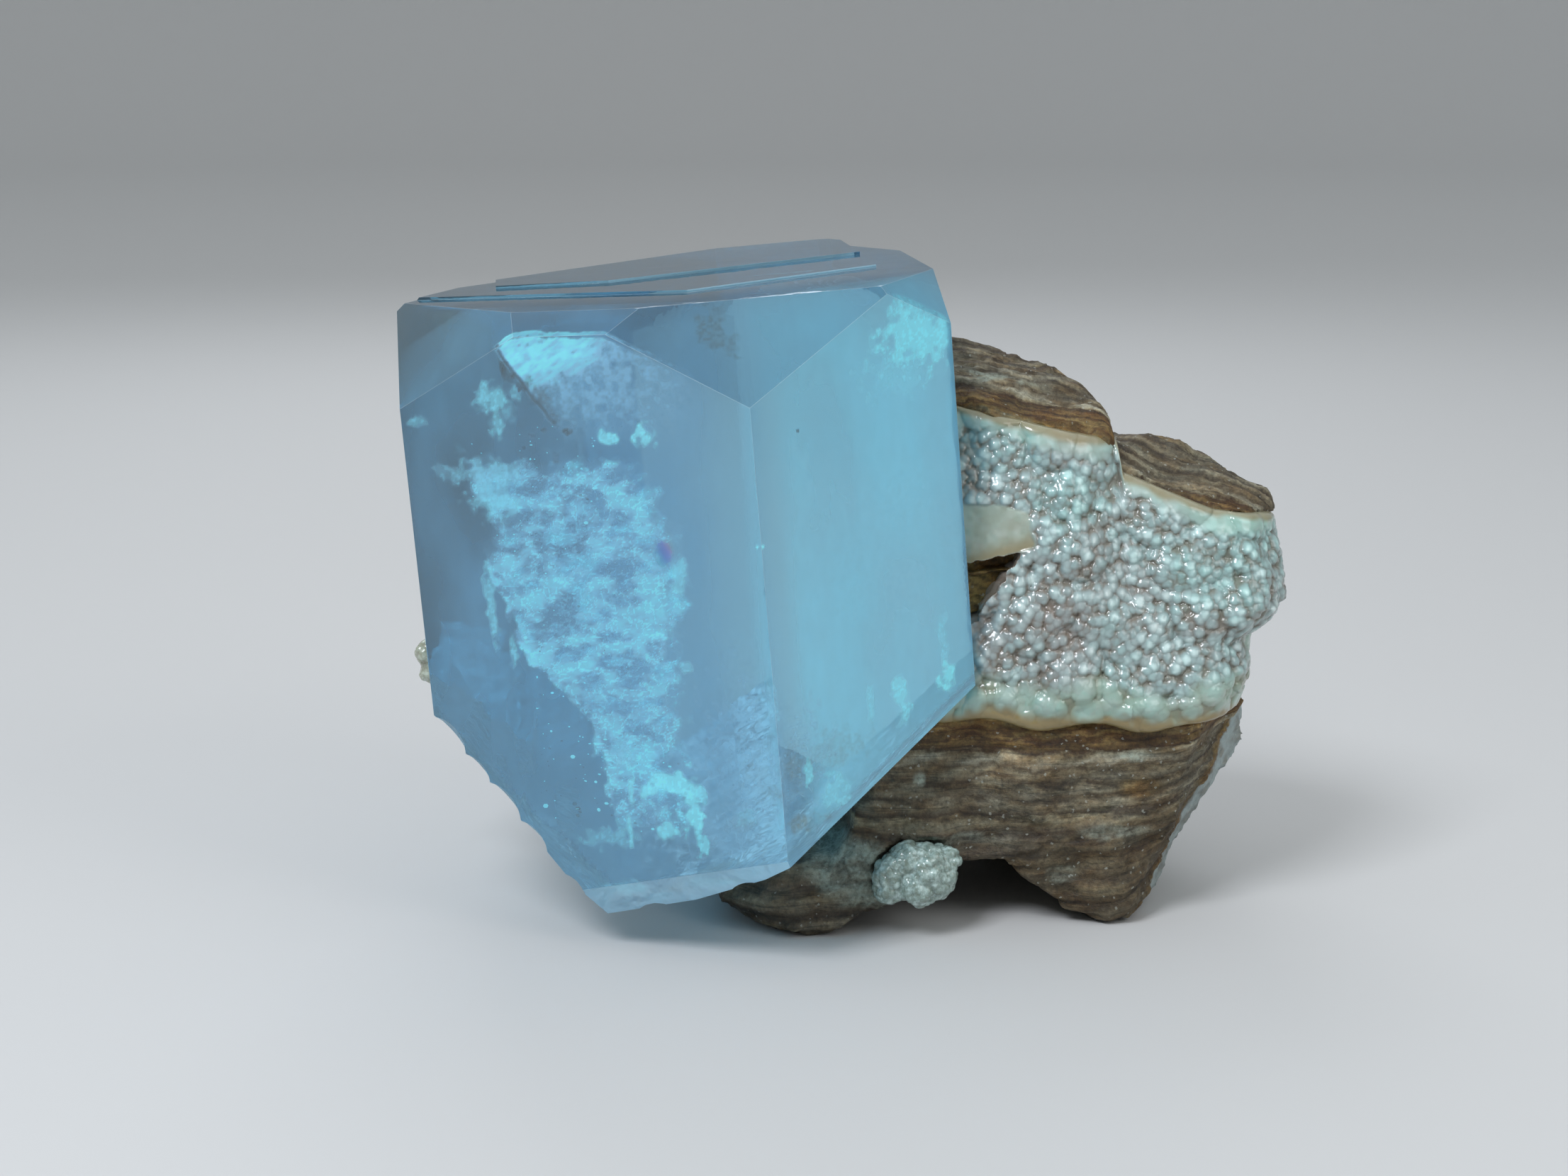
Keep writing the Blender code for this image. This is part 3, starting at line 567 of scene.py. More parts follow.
def layered_rock():
    """Layered rock: dull grey-brown bands that follow the crust, with a pale skin on the right side.

    Bands take their colour from the depth of the layer. Fine streaks and thin dark lines are noise drawn
    out along the layers: its third coordinate is that depth. Pale glossy quartz specks are painted glints.
    """
    made, tree, shader, read = material("layered rock", "depth", "skin", "relief", "rust", "plate")
    depth, skin, relief, rust, plate = read
    place = add(tree, "TexCoord").outputs["Object"]
    parts = add(tree, "SeparateXYZ", {0: place})
    noises = []
    for along, across, detail in ((340.0, 1.5, 6.0), (60.0, 1.1, 2.0), (160.0, 3.4, 3.0), (300.0, 0.8, 3.0)):
        drawn = add(tree, "CombineXYZ")
        ways = ((parts.outputs[0], along), (parts.outputs[1], along), (depth, across))
        for k, (way, scale) in enumerate(ways):
            connect(drawn, {k: add(tree, "Math", {0: way, 1: scale}, operation="MULTIPLY")})
        noises.append(add(tree, "TexNoise", {"Vector": drawn, "Scale": 1.0, "Detail": detail}))
    streak, slow, fine, blotch = noises
    speck = add(tree, "TexNoise", {"Vector": place, "Scale": 2200.0, "Detail": 3.0, "Roughness": 0.7})
    patch = add(tree, "TexNoise", {"Vector": place, "Scale": 480.0, "Detail": 5.0, "Roughness": 0.65})
    uneven = add(tree, "Math", {0: patch, 1: 2.4, 2: -2.0}, operation="MULTIPLY_ADD")
    wander = add(tree, "Math", {0: streak, 1: 1.6, 2: uneven}, operation="MULTIPLY_ADD")
    shifted = add(tree, "Math", {0: depth, 1: wander}, operation="ADD")
    scaled = add(tree, "Math", {0: shifted, 1: 1.0 / LAYER_REPEAT, 2: -0.05}, operation="MULTIPLY_ADD")
    folded = add(tree, "Math", {0: scaled, 1: 1.0}, operation="PINGPONG")
    band = add(tree, "ValToRGB", {"Fac": folded}, ROCK_LAYERS)
    centred = add(tree, "Math", {0: slow, 1: 0.5}, operation="SUBTRACT")
    ridge = add(tree, "Math", {0: centred}, operation="ABSOLUTE")
    factor = 1.0
    for value, low, high, least, most in (
        (streak, 0.3, 0.7, 0.66, 1.2),
        (fine, 0.3, 0.7, 0.82, 1.2),
        (speck, 0.3, 0.7, 0.6, 1.42),
        (patch, 0.3, 0.7, 0.68, 1.32),
        (ridge, 0.0, 0.022, 0.55, 1.0),
        (relief, 0.0, 1.0, 0.5, 1.15),
    ):
        limits = {"From Min": low, "From Max": high, "To Min": least, "To Max": most}
        part = add(tree, "MapRange", {"Value": value, **limits})
        factor = add(tree, "Math", {0: factor, 1: part}, operation="MULTIPLY")
    hues = ((0.36, "#c2a67e"), (0.5, "#e0d6c4"), (0.64, "#eeefea"))
    hue = add(tree, "ValToRGB", {"Fac": blotch}, hues)
    earthy = add(tree, "Mix", {0: rust, 6: band, 7: colour("#8c7440")}, data_type="RGBA")
    tinted = add(tree, "Mix", {0: 0.85, 6: earthy, 7: hue}, data_type="RGBA", blend_type="MULTIPLY")
    tone = add(tree, "Mix", {0: 1.0, 6: tinted, 7: factor}, data_type="RGBA", blend_type="MULTIPLY")
    soft = add(tree, "MapRange", {"Value": speck, "From Min": 0.3, "From Max": 0.62, "To Min": 0.25})
    dusted = add(tree, "Math", {0: plate, 1: soft}, operation="MULTIPLY")
    bare = add(tree, "MapRange", {"Value": patch, "From Min": 0.35, "From Max": 0.6, "To Min": 0.6})
    flaky = add(tree, "Math", {0: skin, 1: bare}, operation="MULTIPLY")
    # Painted highlight: random pale, glossier specks of quartz stand in for their glints.
    cells = add(tree, "TexVoronoi", {"Vector": place, "Scale": 5200.0})
    chance = add(tree, "SeparateColor", {0: cells.outputs["Color"]})
    limits = {"From Min": 0.984, "From Max": 0.992, "To Max": 0.45}
    quartz_and_painted_glint = add(tree, "MapRange", {"Value": chance, **limits})
    for share, code in ((dusted, "#98a598"), (flaky, "#9dabab"), (quartz_and_painted_glint, "#a8aca2")):
        tone = add(tree, "Mix", {0: share, 6: tone, 7: colour(code)}, data_type="RGBA")
    dull = add(tree, "MapRange", {"Value": quartz_and_painted_glint, "To Min": 0.65, "To Max": 0.2})
    rough = add(tree, "Math", {0: streak, 1: speck}, operation="ADD")
    bump = add(tree, "Bump", {"Height": rough, "Strength": 0.7, "Distance": 0.25 * MM})
    connect(shader, {"Base Color": tone, "Roughness": dull, "Normal": bump})
    return made


def glassy_lump(name, tones):
    """Glassy silica in small lumps, hyalite opal or chalcedony, flecked in three tones: it looks wet."""
    made, tree, shader, _ = material(name)
    place = add(tree, "TexCoord").outputs["Object"]
    speck = add(tree, "TexNoise", {"Vector": place, "Scale": 1500.0, "Detail": 3.0, "Roughness": 0.7})
    tone = add(tree, "ValToRGB", {"Fac": speck}, tuple(zip((0.35, 0.5, 0.65), tones)))
    connect(shader, {"Base Color": tone, "Roughness": 0.22, "Coat Weight": 0.6, "Coat Roughness": 0.1})
    connect(shader, {"Subsurface Weight": 0.4, "Subsurface Radius": (1.0, 1.0, 0.9)})
    connect(shader, {"Subsurface Scale": 0.8 * MM})
    return made


# --- Crystal ---
def to_row(points):
    """Turn points from the crystal's own axes into the row frame."""
    return points @ CRYSTAL_TURN.T + CRYSTAL_ORIGIN


def on_face(face, across, up, depth):
    """Places behind a crystal face: that far across it, up it, and in from its plane."""
    azimuth, slope, distance = face
    turn, tilt = math.radians(azimuth), math.radians(slope)
    out = np.array((math.sin(tilt) * math.cos(turn), math.sin(tilt) * math.sin(turn), math.cos(tilt)))
    side = np.array((-math.sin(turn), math.cos(turn), 0.0))
    rise = np.cross(out, side)
    across, up, depth = np.broadcast_arrays(across, up, depth)
    return to_row((distance - depth)[..., None] * out + across[..., None] * side + up[..., None] * rise)


def big_faces(mesh, least):
    """Normals and distances in millimetres, in the row frame, of a mesh's faces larger than an area."""
    big = face_values(mesh, "area", 1)[:, 0] > least * MM * MM
    normals = face_values(mesh, "normal", 3)[big]
    return normals, np.sum(normals * face_values(mesh, "center", 3)[big], axis=1) / MM


CRYSTAL_FACES = big_faces(CRYSTAL_SOLID, BIG_FACE)


def make_crystal():
    """Crystal with flat faces and a hair of rounding on its edges, which says what kind each face is.

    The kind is read from where a face looks in the crystal's own axes. Broken faces look down, worn edges
    look like none of the solid's faces, and the risers of the growth steps stand above the top.
    """
    piece = new_piece("crystal", merged_copy("aquamarine_crystal"))
    modify(piece, "DECIMATE", decimate_type="DISSOLVE", angle_limit=FLAT_ANGLE)
    modify(piece, "BEVEL", width=EDGE_WEAR * MM, segments=2, limit_method="ANGLE", angle_limit=EDGE_ANGLE)
    piece.data.shade_smooth()
    piece.data.set_sharp_from_angle(angle=SHARP_ANGLE)
    facing = face_values(piece.data, "normal", 3)
    side, front, up = np.moveaxis(facing @ CRYSTAL_TURN, -1, 0)
    height = ((face_values(piece.data, "center", 3) / MM - CRYSTAL_ORIGIN) @ CRYSTAL_TURN)[:, 2]
    riser = height > TOP_FACE[2]
    broken = up < -0.08
    right_face = 0.5 * side - 0.866 * front
    # Painted shade and light: top and bevels darker, right prism face lighter, as the lamps fall on them.
    tone = np.where(up > 0.3, 0.9 * (side < -0.5), 0.5 + 0.5 * step(right_face, 0.95, 0.99)) * ~riser
    solid_faces, _ = big_faces(CRYSTAL_SOLID, SMALL_FACE)
    worn = (np.max(facing @ solid_faces.T, axis=1) < SAME_WAY) & ~riser & ~broken
    attributes(piece.data, "FACE", tone=tone, broken=broken, worn=worn)
    piece.data.materials.append(beryl())
    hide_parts("aquamarine_crystal")


def face_grid(extent, columns, rows):
    """Grid over part of a crystal face: how far across and up its points are, and the two as flat points.

    The extent is how far it goes across the face, from left to right, and up it, from low to high.
    """
    left, right, low, high = extent
    across, up = np.meshgrid(np.linspace(left, right, columns), np.linspace(low, high, rows))
    return across, up, joined(across, up, 0.0)


def sheet(finish, name, face, across, up, depth, cover, shade):
    """Thin sheet behind a face, on a grid over it, with how dense and how bright it is at each point.

    It thins out toward the crystal's surface, and cells that are quite clear or outside are left out.
    """
    points = on_face(face, across, up, depth)
    normals, distances = CRYSTAL_FACES
    within = np.min(distances - points @ normals.T, axis=-1)
    cover = np.clip(cover, 0.0, 1.0) * step(within, *SURFACE_FADE)
    shade = np.clip(np.broadcast_to(shade, up.shape), 0.0, 1.0)
    faces = grid_faces(*across.shape)
    seen = (np.max(cover.ravel()[faces], axis=1) > 0.01) & (np.min(within.ravel()[faces], axis=1) > 0.0)
    used, faces = np.unique(faces[seen], return_inverse=True)
    mesh = mesh_of(name, points.reshape(-1, 3)[used], faces.reshape(-1, 4))
    attributes(mesh, cover=cover.ravel()[used], shade=shade.ravel()[used])
    mesh.materials.append(finish)
    new_piece(name, mesh)


def haze(finish, name, face, depth, seed, extent, strength, bright):
    """Faint cloudy growth zone parallel to a face: an even sheet with noise drawn out up the face.

    It fades out toward its four edges by the product of the ways to the two nearer opposite ones.
    """
    across, up, flat = face_grid(extent, 90, 110)
    left, right, low, high = extent
    drawn = flat / (6.0, 12.0, 1.0)
    from_sides = (across - left) * (right - across) / (right - left) ** 2
    from_ends = (up - low) * (high - up) / (high - low) ** 2
    cover = strength * step(np.minimum(from_sides, from_ends), 0.13)
    cover = cover * (0.8 + 0.35 * fractal(drawn, 4, seed))
    sheet(finish, name, face, across, up, depth + 0.5 * smooth_noise(drawn * 0.7, seed + 5), cover, bright)


def feather(finish):
    """Fan-shaped fracture under the left face: a flat top, a hooked left edge, fading down and to the right.

    Its outline is two polylines, the top as a height over the way across and the left edge the other way
    round, both roughened by noise. It is bright and finely rippled along the top, mottled below, and dark
    in a thin hook along the left edge.
    """
    across, up, flat = face_grid((-20.0, 2.0, 14.0, 25.6), 180, 110)
    rough = fractal(flat * (0.9, 0.9, 1.0), 4, 11)
    from_top = np.interp(across, *FEATHER_TOP) - up
    from_left = across - np.interp(up, *FEATHER_LEFT) + 0.15 * rough
    inside = step(from_top + 0.15 * rough, 0.2) * step(from_left, 0.25)
    fading = step(up, 14.5, 21.0) * step(2.0 - across, 9.0)
    bright = step(up - 19.6 - 0.25 * (across + 13.0), 4.2) * step(-6.0 - across, 5.5)
    texture = 0.55 + 0.45 * fractal(flat * (1.6, 1.6, 1.0), 3, 21)
    ripple = fractal(joined(across * 0.8 + up * 0.5, up * 2.4 - across * 1.2, 0.0), 4, 27)
    hook = step(from_left, -0.35, -0.1) * step(0.45 - from_left, 0.25)
    hook = hook * step(up, 16.5, 18.0) * step(from_top, 0.2)
    cover = inside * np.clip(1.2 * fading * texture + bright * (1.1 + 0.5 * ripple), 0.0, 1.0)
    shade = (0.5 + bright * (0.42 + 0.22 * ripple)) * (1.0 - hook) + 0.1 * hook
    depth = 1.5 + 0.2 * smooth_noise(flat * 0.25, 5) + 0.06 * rough + 0.02 * (across + 18.0)
    sheet(finish, "feather", LEFT_FACE, across, up, depth, np.maximum(cover, 0.75 * hook), shade)


def cloud(finish, name, deep, seed, strength):
    """Cloud of fluid inclusions down the left face: ragged streaks with a sharp lower left edge.

    Its outline is two polylines over the height, roughened by noise. Within it, bent streaks of drawn-out
    noise are crossed by threads, which are the places where a curled noise passes through zero.
    """
    across, up, flat = face_grid((-25.0, 0.0, -21.0, 17.0), 240, 340)
    left = np.interp(up, *CLOUD_LEFT)
    right = np.interp(up, *CLOUD_RIGHT)
    rough = fractal(flat * 0.8, 4, seed)
    inside = step(across - left + 0.5 * rough, 0.8) * step(right - across + 1.2 * rough, 2.4)
    ends = step(14.5 - up + rough, 2.0) * step(up + 20.0, 3.0)
    bent = up * 0.85 - across * 0.12 + 0.5 * smooth_noise(flat * 0.35, seed + 7)
    streaks = fractal(joined(across * 0.45, bent, 3.0 * seed), 5, seed + 9)
    curled = joined(across * 1.6 + 0.8 * streaks, up * 2.2, 1.7 * seed)
    threads = step(1.0 - np.abs(fractal(curled, 3, seed + 4)), 0.8, 0.98)
    texture = (0.3 + 0.7 * step(streaks, -0.5, 0.5)) * (0.7 + 0.55 * threads)
    rim = step(left + 1.3 + 0.5 * rough - across, 0.9)
    texture = texture + 0.6 * rim * step(up, -5.5, -3.0) * step(5.0 - up, 3.0)
    depth = deep + 0.4 * smooth_noise(flat * 0.22, seed + 2) + 0.1 * rough
    shade = 0.62 + 0.2 * threads + 0.2 * streaks
    sheet(finish, name, LEFT_FACE, across, up, depth, strength * inside * ends * texture, shade)


def spots(finish, name, face, depth, seed, extent, places):
    """Sheet of separate bright or dark patches: each is a soft ellipse whose radius noise makes ragged.

    Where patches overlap, the denser one is seen.
    """
    across, up, flat = face_grid(extent, 260, 300)
    ragged = fractal(flat * 1.3, 4, seed)
    fleck = step(fractal(flat * 3.0, 2, seed + 5), -0.5, 0.6)
    cover = np.zeros_like(up)
    shade = np.full_like(up, 0.6)
    for x, y, half_width, half_height, dense, bright in places:
        away = np.hypot((across - x) / half_width, (up - y) / half_height) + 0.5 * ragged
        patch = dense * step(1.3 - away, 0.8) * (0.4 + 0.6 * np.maximum(fleck, bright - 0.4))
        shade = np.where(patch > cover, bright, shade)
        cover = np.maximum(cover, patch)
    deep = depth + 0.2 * smooth_noise(flat * 0.3, seed + 2) + 0.05 * ragged
    sheet(finish, name, face, across, up, deep, cover, shade)


def inclusions(finish, count):
    """Many tiny six-sided flakes and bubbles at random under the left face, mostly within the cloud."""
    number = np.arange(count)
    chance = [corner_value(joined(number, k, 0), 401) for k in range(8)]
    up = -19.0 + 36.0 * chance[0]
    across = -12.5 - 0.25 * np.maximum(up, 0.0) + 14.0 * (chance[1] - 0.5)
    depth = 0.8 + 6.0 * chance[2]
    radius = 0.06 + 0.18 * chance[3] ** 4
    turn = np.linspace(0.0, 2.0 * math.pi, 7)[:-1]
    wide = np.outer(radius, np.cos(turn))
    high = np.outer(radius * (0.4 + 0.6 * chance[5]), np.sin(turn))
    lean = 0.6 * np.sin(2.0 * math.pi * chance[4])
    deep = depth[:, None] + wide * lean[:, None]
    points = on_face(LEFT_FACE, across[:, None] + wide, up[:, None] + high, deep)
    mesh = mesh_of("inclusions", points, np.arange(6 * count).reshape(count, 6))
    pale = np.repeat(chance[6] > 0.3, 6)
    attributes(mesh, cover=np.where(pale, 0.9, 0.5), shade=np.where(pale, 0.95, 0.05))
    mesh.materials.append(finish)
    new_piece("inclusions", mesh)


def rainbow(finish):
    """Small patch of a crack under the left face whose film of air shows colours."""
    across, up, flat = face_grid((-5.6, -2.6, 3.6, 8.0), 60, 80)
    away = np.hypot((across + 4.3) / 1.0, (up - 6.2) / 1.3) + 0.2 * fractal(flat * 1.5, 3, 301)
    shade = 0.5 + 0.45 * (across + 4.1) + 0.25 * (up - 6.4)
    sheet(finish, "rainbow", LEFT_FACE, across, up, 1.2, 0.8 * step(1.2 - away, 0.9), shade)


# --- Crust ---
def crust_place(s, t):
    """Smooth front of the crust, and the level way that it faces.

    s runs round it from the crystal to the right side and t from foot to top. The front is bowed a little
    as far as s = 0.76, and then turns through CRUST_WRAP on a circle. It leans back with height. The foot
    waves and falls a little to the right, and the two tiers' rims fall more.
    """
    straight = np.minimum(s / (1.0 - CRUST_ROUND_SHARE), 1.0)
    angle = CRUST_WRAP * np.maximum(s - 1.0 + CRUST_ROUND_SHARE, 0.0) / CRUST_ROUND_SHARE
    along = straight * (CRUST_END - CRUST_LEFT)
    run = CRUST_LEFT + along
    lower = CRUST_FOOT + 0.1 - 0.04 * along + 0.4 * (np.sin(0.55 * run) + angle)
    upper_tier = CRUST_TOPS[0] - CRUST_FALLS[0] * along
    second_tier = CRUST_TOPS[1] - CRUST_FALLS[1] * (run - CRUST_STEP) - 0.7 * angle
    top = upper_tier + (second_tier - upper_tier) * step(run, CRUST_STEP + 0.5, CRUST_STEP + 1.3)
    z = lower + t * (top - lower)
    span = np.interp(run, (21.5, 26.5), (29.0, 22.0))
    y = CRUST_FRONT + CRUST_LEAN * np.maximum((z - 17.0) / span, 0.0) ** 1.4
    y = y - CRUST_BOW * np.sin(math.pi * straight)
    y = y + 1.3 * CRUST_ROUND * (1.0 - np.cos(angle))
    reach = np.interp(z, CRUST_EDGE_Z, CRUST_EDGE_X)
    x = CRUST_LEFT + straight * (reach - CRUST_ROUND - CRUST_LEFT) + CRUST_ROUND * np.sin(angle)
    return joined(x, y, z) + SHIFT, joined(np.sin(angle), -np.cos(angle), 0.0)


def make_crust(rooms):
    """Crust as a ring of points swept along s: grains on its front, a plain back, and rounded rims.

    Each point of crust_place moves out by a rise: heaps of balls for clusters, for grains and, along the
    foot, for bigger knobs. The rise is plain on the head, just below the top rim, and on the ledge, a
    smooth shelf beside the crystal. A quarter circle rounds the rims. Near the top the back stands further
    in, to fill the crack between crust and rock.
    """
    s = np.linspace(0.0, CRUST_S_END, CRUST_COLUMNS)[:, None]
    front = np.linspace(CRUST_T_LOW, CRUST_T_HIGH, CRUST_ROWS)
    back = np.linspace(CRUST_T_HIGH, CRUST_T_LOW, CRUST_BACK + 2)[1:-1]
    s, t = np.broadcast_arrays(s, np.concatenate([front, back])[None, :])
    place, facing = crust_place(s, t)
    is_front = (np.arange(t.shape[1]) < CRUST_ROWS)[None, :]
    x, z = place[..., 0] - SHIFT[0], place[..., 2]
    height = np.where(x < CRUST_STEP, *CRUST_HEIGHTS)
    from_top, from_foot = (1.0 - t) * height, t * height
    clusters, _ = grains(place / CLUSTER_CELL, 0.45, 0.85, 0.1, 31)
    bent = 0.14 * smooth_noise(place / 0.4, 2)[..., None]
    fine, own = grains(place / GRAIN_CELL + bent, 0.25, 0.85, 0.4, 41)
    coarse, _ = grains(place / KNOB_CELL, 0.4, 0.8, 0.2, 51)
    foot = step(4.6 - from_foot + 1.3 * smooth_noise(place / 2.5, 3), 2.4)
    right_foot = step(s + 0.02 * smooth_noise(place / 2.0, 13), 0.86, 0.92) * step(9.5 - from_foot, 2.5)
    foot = np.maximum(foot, 0.85 * right_foot)
    head = step(1.9 - from_top + 0.9 * smooth_noise(place / 3.0, 4), 1.6)
    shelf = z - LEDGE_LOW - LEDGE_SLOPE * (x - 11.2)
    ledge = step(LEDGE_RIGHT - x + 0.6 * smooth_noise(place / 0.8, 6), 0.6) * step(shelf, -0.4, 0.0)
    ledge = ledge * step(LEDGE_HIGH - 0.28 * np.maximum(x - 14.0, 0.0) - z, 0.35)
    plain = np.maximum(head, ledge)
    rise = clusters * (1.0 - ledge) + 0.5 * fine * (1.0 - 0.6 * foot) * (1.0 - plain) + 0.6 * coarse * foot
    rise = rise + plain * (0.45 + 0.04 * smooth_noise(place / 0.5, 8)) + 0.45 * ledge
    rise = rise * (0.3 + 0.7 * step(from_foot, 2.2))
    from_ends = np.minimum(t - CRUST_T_LOW, CRUST_T_HIGH - t) * CRUST_SPAN[1]
    from_rim = np.minimum(np.minimum(from_ends, (CRUST_S_END - s) * CRUST_SPAN[0]) / CRUST_RIM, 1.0)
    rim = CRUST_RIM * (1.0 - np.sqrt(np.clip(1.0 - (1.0 - from_rim) ** 2, 0.0, 1.0)))
    inward = CRUST_THICKNESS + CRUST_SHELF * step(t, 0.88, 0.96)
    out = np.where(is_front, rise - CRUST_SINK - rim, -inward)
    points = place + facing * out[..., None]
    points[..., 0] = np.minimum(points[..., 0], CRUST_LIMIT)
    mesh = mesh_of("crust", points, grid_faces(*t.shape, ring=True))
    crown = np.clip(fine - 0.1, 0.0, 1.0) * (1.0 - foot) + foot * np.clip(coarse, 0.0, 1.0)
    low_rim = 1.0 - from_foot + 0.7 * smooth_noise(place / 2.0, 9) + 0.4 * smooth_noise(place / 0.7, 14)
    high_rim = 0.5 - from_top + 0.3 * smooth_noise(place / 1.6, 10)
    ochre = np.maximum(step(low_rim, 1.3), 0.8 * step(high_rim, 0.7))
    ochre = np.maximum(ochre, ledge * (0.3 + 0.5 * step(1.6 - shelf, 1.6)))
    region = 0.5 + 0.12 * foot + 0.25 * smooth_noise(place / 4.0, 15)
    for centre, size, share in CRUST_REGIONS:
        region = region + share * blob(x, z, centre, size)
    crown = crown * (1.0 - plain) + plain * (0.85 + 0.1 * smooth_noise(place / 0.6, 12))
    own = np.clip(0.3 * own + 0.85 * region - 0.08, 0.0, 1.0)
    attributes(mesh, crown=crown, smooth=np.maximum(foot, plain), ochre=ochre, own=own)
    work = bmesh.new()
    work.from_mesh(mesh)
    bmesh.ops.holes_fill(work, edges=[edge for edge in work.edges if edge.is_boundary], sides=0)
    write_closed(work, mesh)
    piece = new_piece("crust", mesh)
    for room in rooms:
        cut_away(piece, room)
    take_place(piece, "botryoidal_crust", chalcedony())


def crystal_room(gap):
    """Cutter: the convex solid round the crystal, grown by a gap. Its planes cut it out of a cube."""
    work = bmesh.new()
    work.from_mesh(CRYSTAL_SOLID)
    bmesh.ops.remove_doubles(work, verts=work.verts[:], dist=1e-6)
    hull = bmesh.ops.convex_hull(work, input=work.verts[:])["geom"]
    centre = Vector(CRYSTAL_ORIGIN * MM)
    planes = []
    for face in hull:
        if not isinstance(face, bmesh.types.BMFace) or face.calc_area() <= 1e-8:
            continue
        point = face.verts[0].co.copy()
        normal = face.normal.copy()
        if normal.dot(point - centre) < 0.0:
            normal = -normal
        if all(normal.dot(other) < 0.9999 for other, _ in planes):
            planes.append((normal, point))
    work.free()
    room = bmesh.new()
    bmesh.ops.create_cube(room, size=0.2)
    bmesh.ops.translate(room, verts=room.verts[:], vec=centre)
    for normal, point in planes:
        plane = {"plane_co": point + normal * gap * MM, "plane_no": normal}
        everything = room.verts[:] + room.edges[:] + room.faces[:]
        cut = bmesh.ops.bisect_plane(room, geom=everything, clear_outer=True, **plane)
        rim = [part for part in cut["geom_cut"] if isinstance(part, bmesh.types.BMEdge)]
        if rim:
            bmesh.ops.edgeloop_fill(room, edges=rim)
    return cutter_object("crystal_room", room)


def recess_room():
    """Cutter: the bay that the crust leaves beside the crystal, with a grainy wall where it is low."""
    work = bmesh.new()
    for corner in RECESS_CORNERS:
        work.verts.new(Vector(np.array(corner) + SHIFT) * MM)
    bmesh.ops.convex_hull(work, input=work.verts[:])
    cutter = cutter_object("recess_room", work)
    even_skin(cutter, RECESS_SKIN)
    place, normal = read_points(cutter.data)
    balls, _ = grains(place / 1.1, 0.3, 0.85, 0.3, 61)
    low = step(34.0 - place[:, 2], 1.5)
    rise = low * (0.35 - 0.8 * balls) + 0.1 * smooth_noise(place / 0.6, 63)
    write_points(cutter.data, place + normal * rise[:, None])
    return cutter


def cutter_object(name, work):
    """Hidden object that only cuts others."""
    mesh = bpy.data.meshes.new(name)
    write_closed(work, mesh)
    cutter = new_object(name, mesh)
    cutter.hide_render = True
    return cutter


# --- Rock ---
def layer_depth(place):
    """Distance in from the crust's outline: straight above, below and behind it, round at its corners.

    It is the root of (above + below)^2 + behind^2. Towards the right side the layers below the crust bend
    up, by a term that dies away with the distance from that side, and run out along it.
    """
    x, y, z = np.moveaxis(place - SHIFT, -1, 0)
    first_top = np.maximum(z - CRUST_TOPS[0] + CRUST_FALLS[0] * (x - CRUST_LEFT), 0.0)
    second_top = np.maximum(z - CRUST_TOPS[1] + CRUST_FALLS[1] * (x - CRUST_STEP), 0.0)
    round_corner = np.hypot(np.maximum(x - CRUST_STEP, 0.0), first_top)
    above = np.where(x < CRUST_STEP, first_top, np.minimum(second_top, round_corner))
    below = np.maximum(CRUST_FOOT - z, 0.0)
    behind = np.maximum(y + 11.5, 0.0) * step(z, 4.0, 24.0)
    from_side = np.maximum(SIDE_FOOT + SIDE_LEAN * z - x, 0.0)
    bend = 5.0 * np.exp(-from_side / 2.4) * step(21.0 - z, 3.0)
    return np.sqrt((above + below) ** 2 + behind**2) + bend


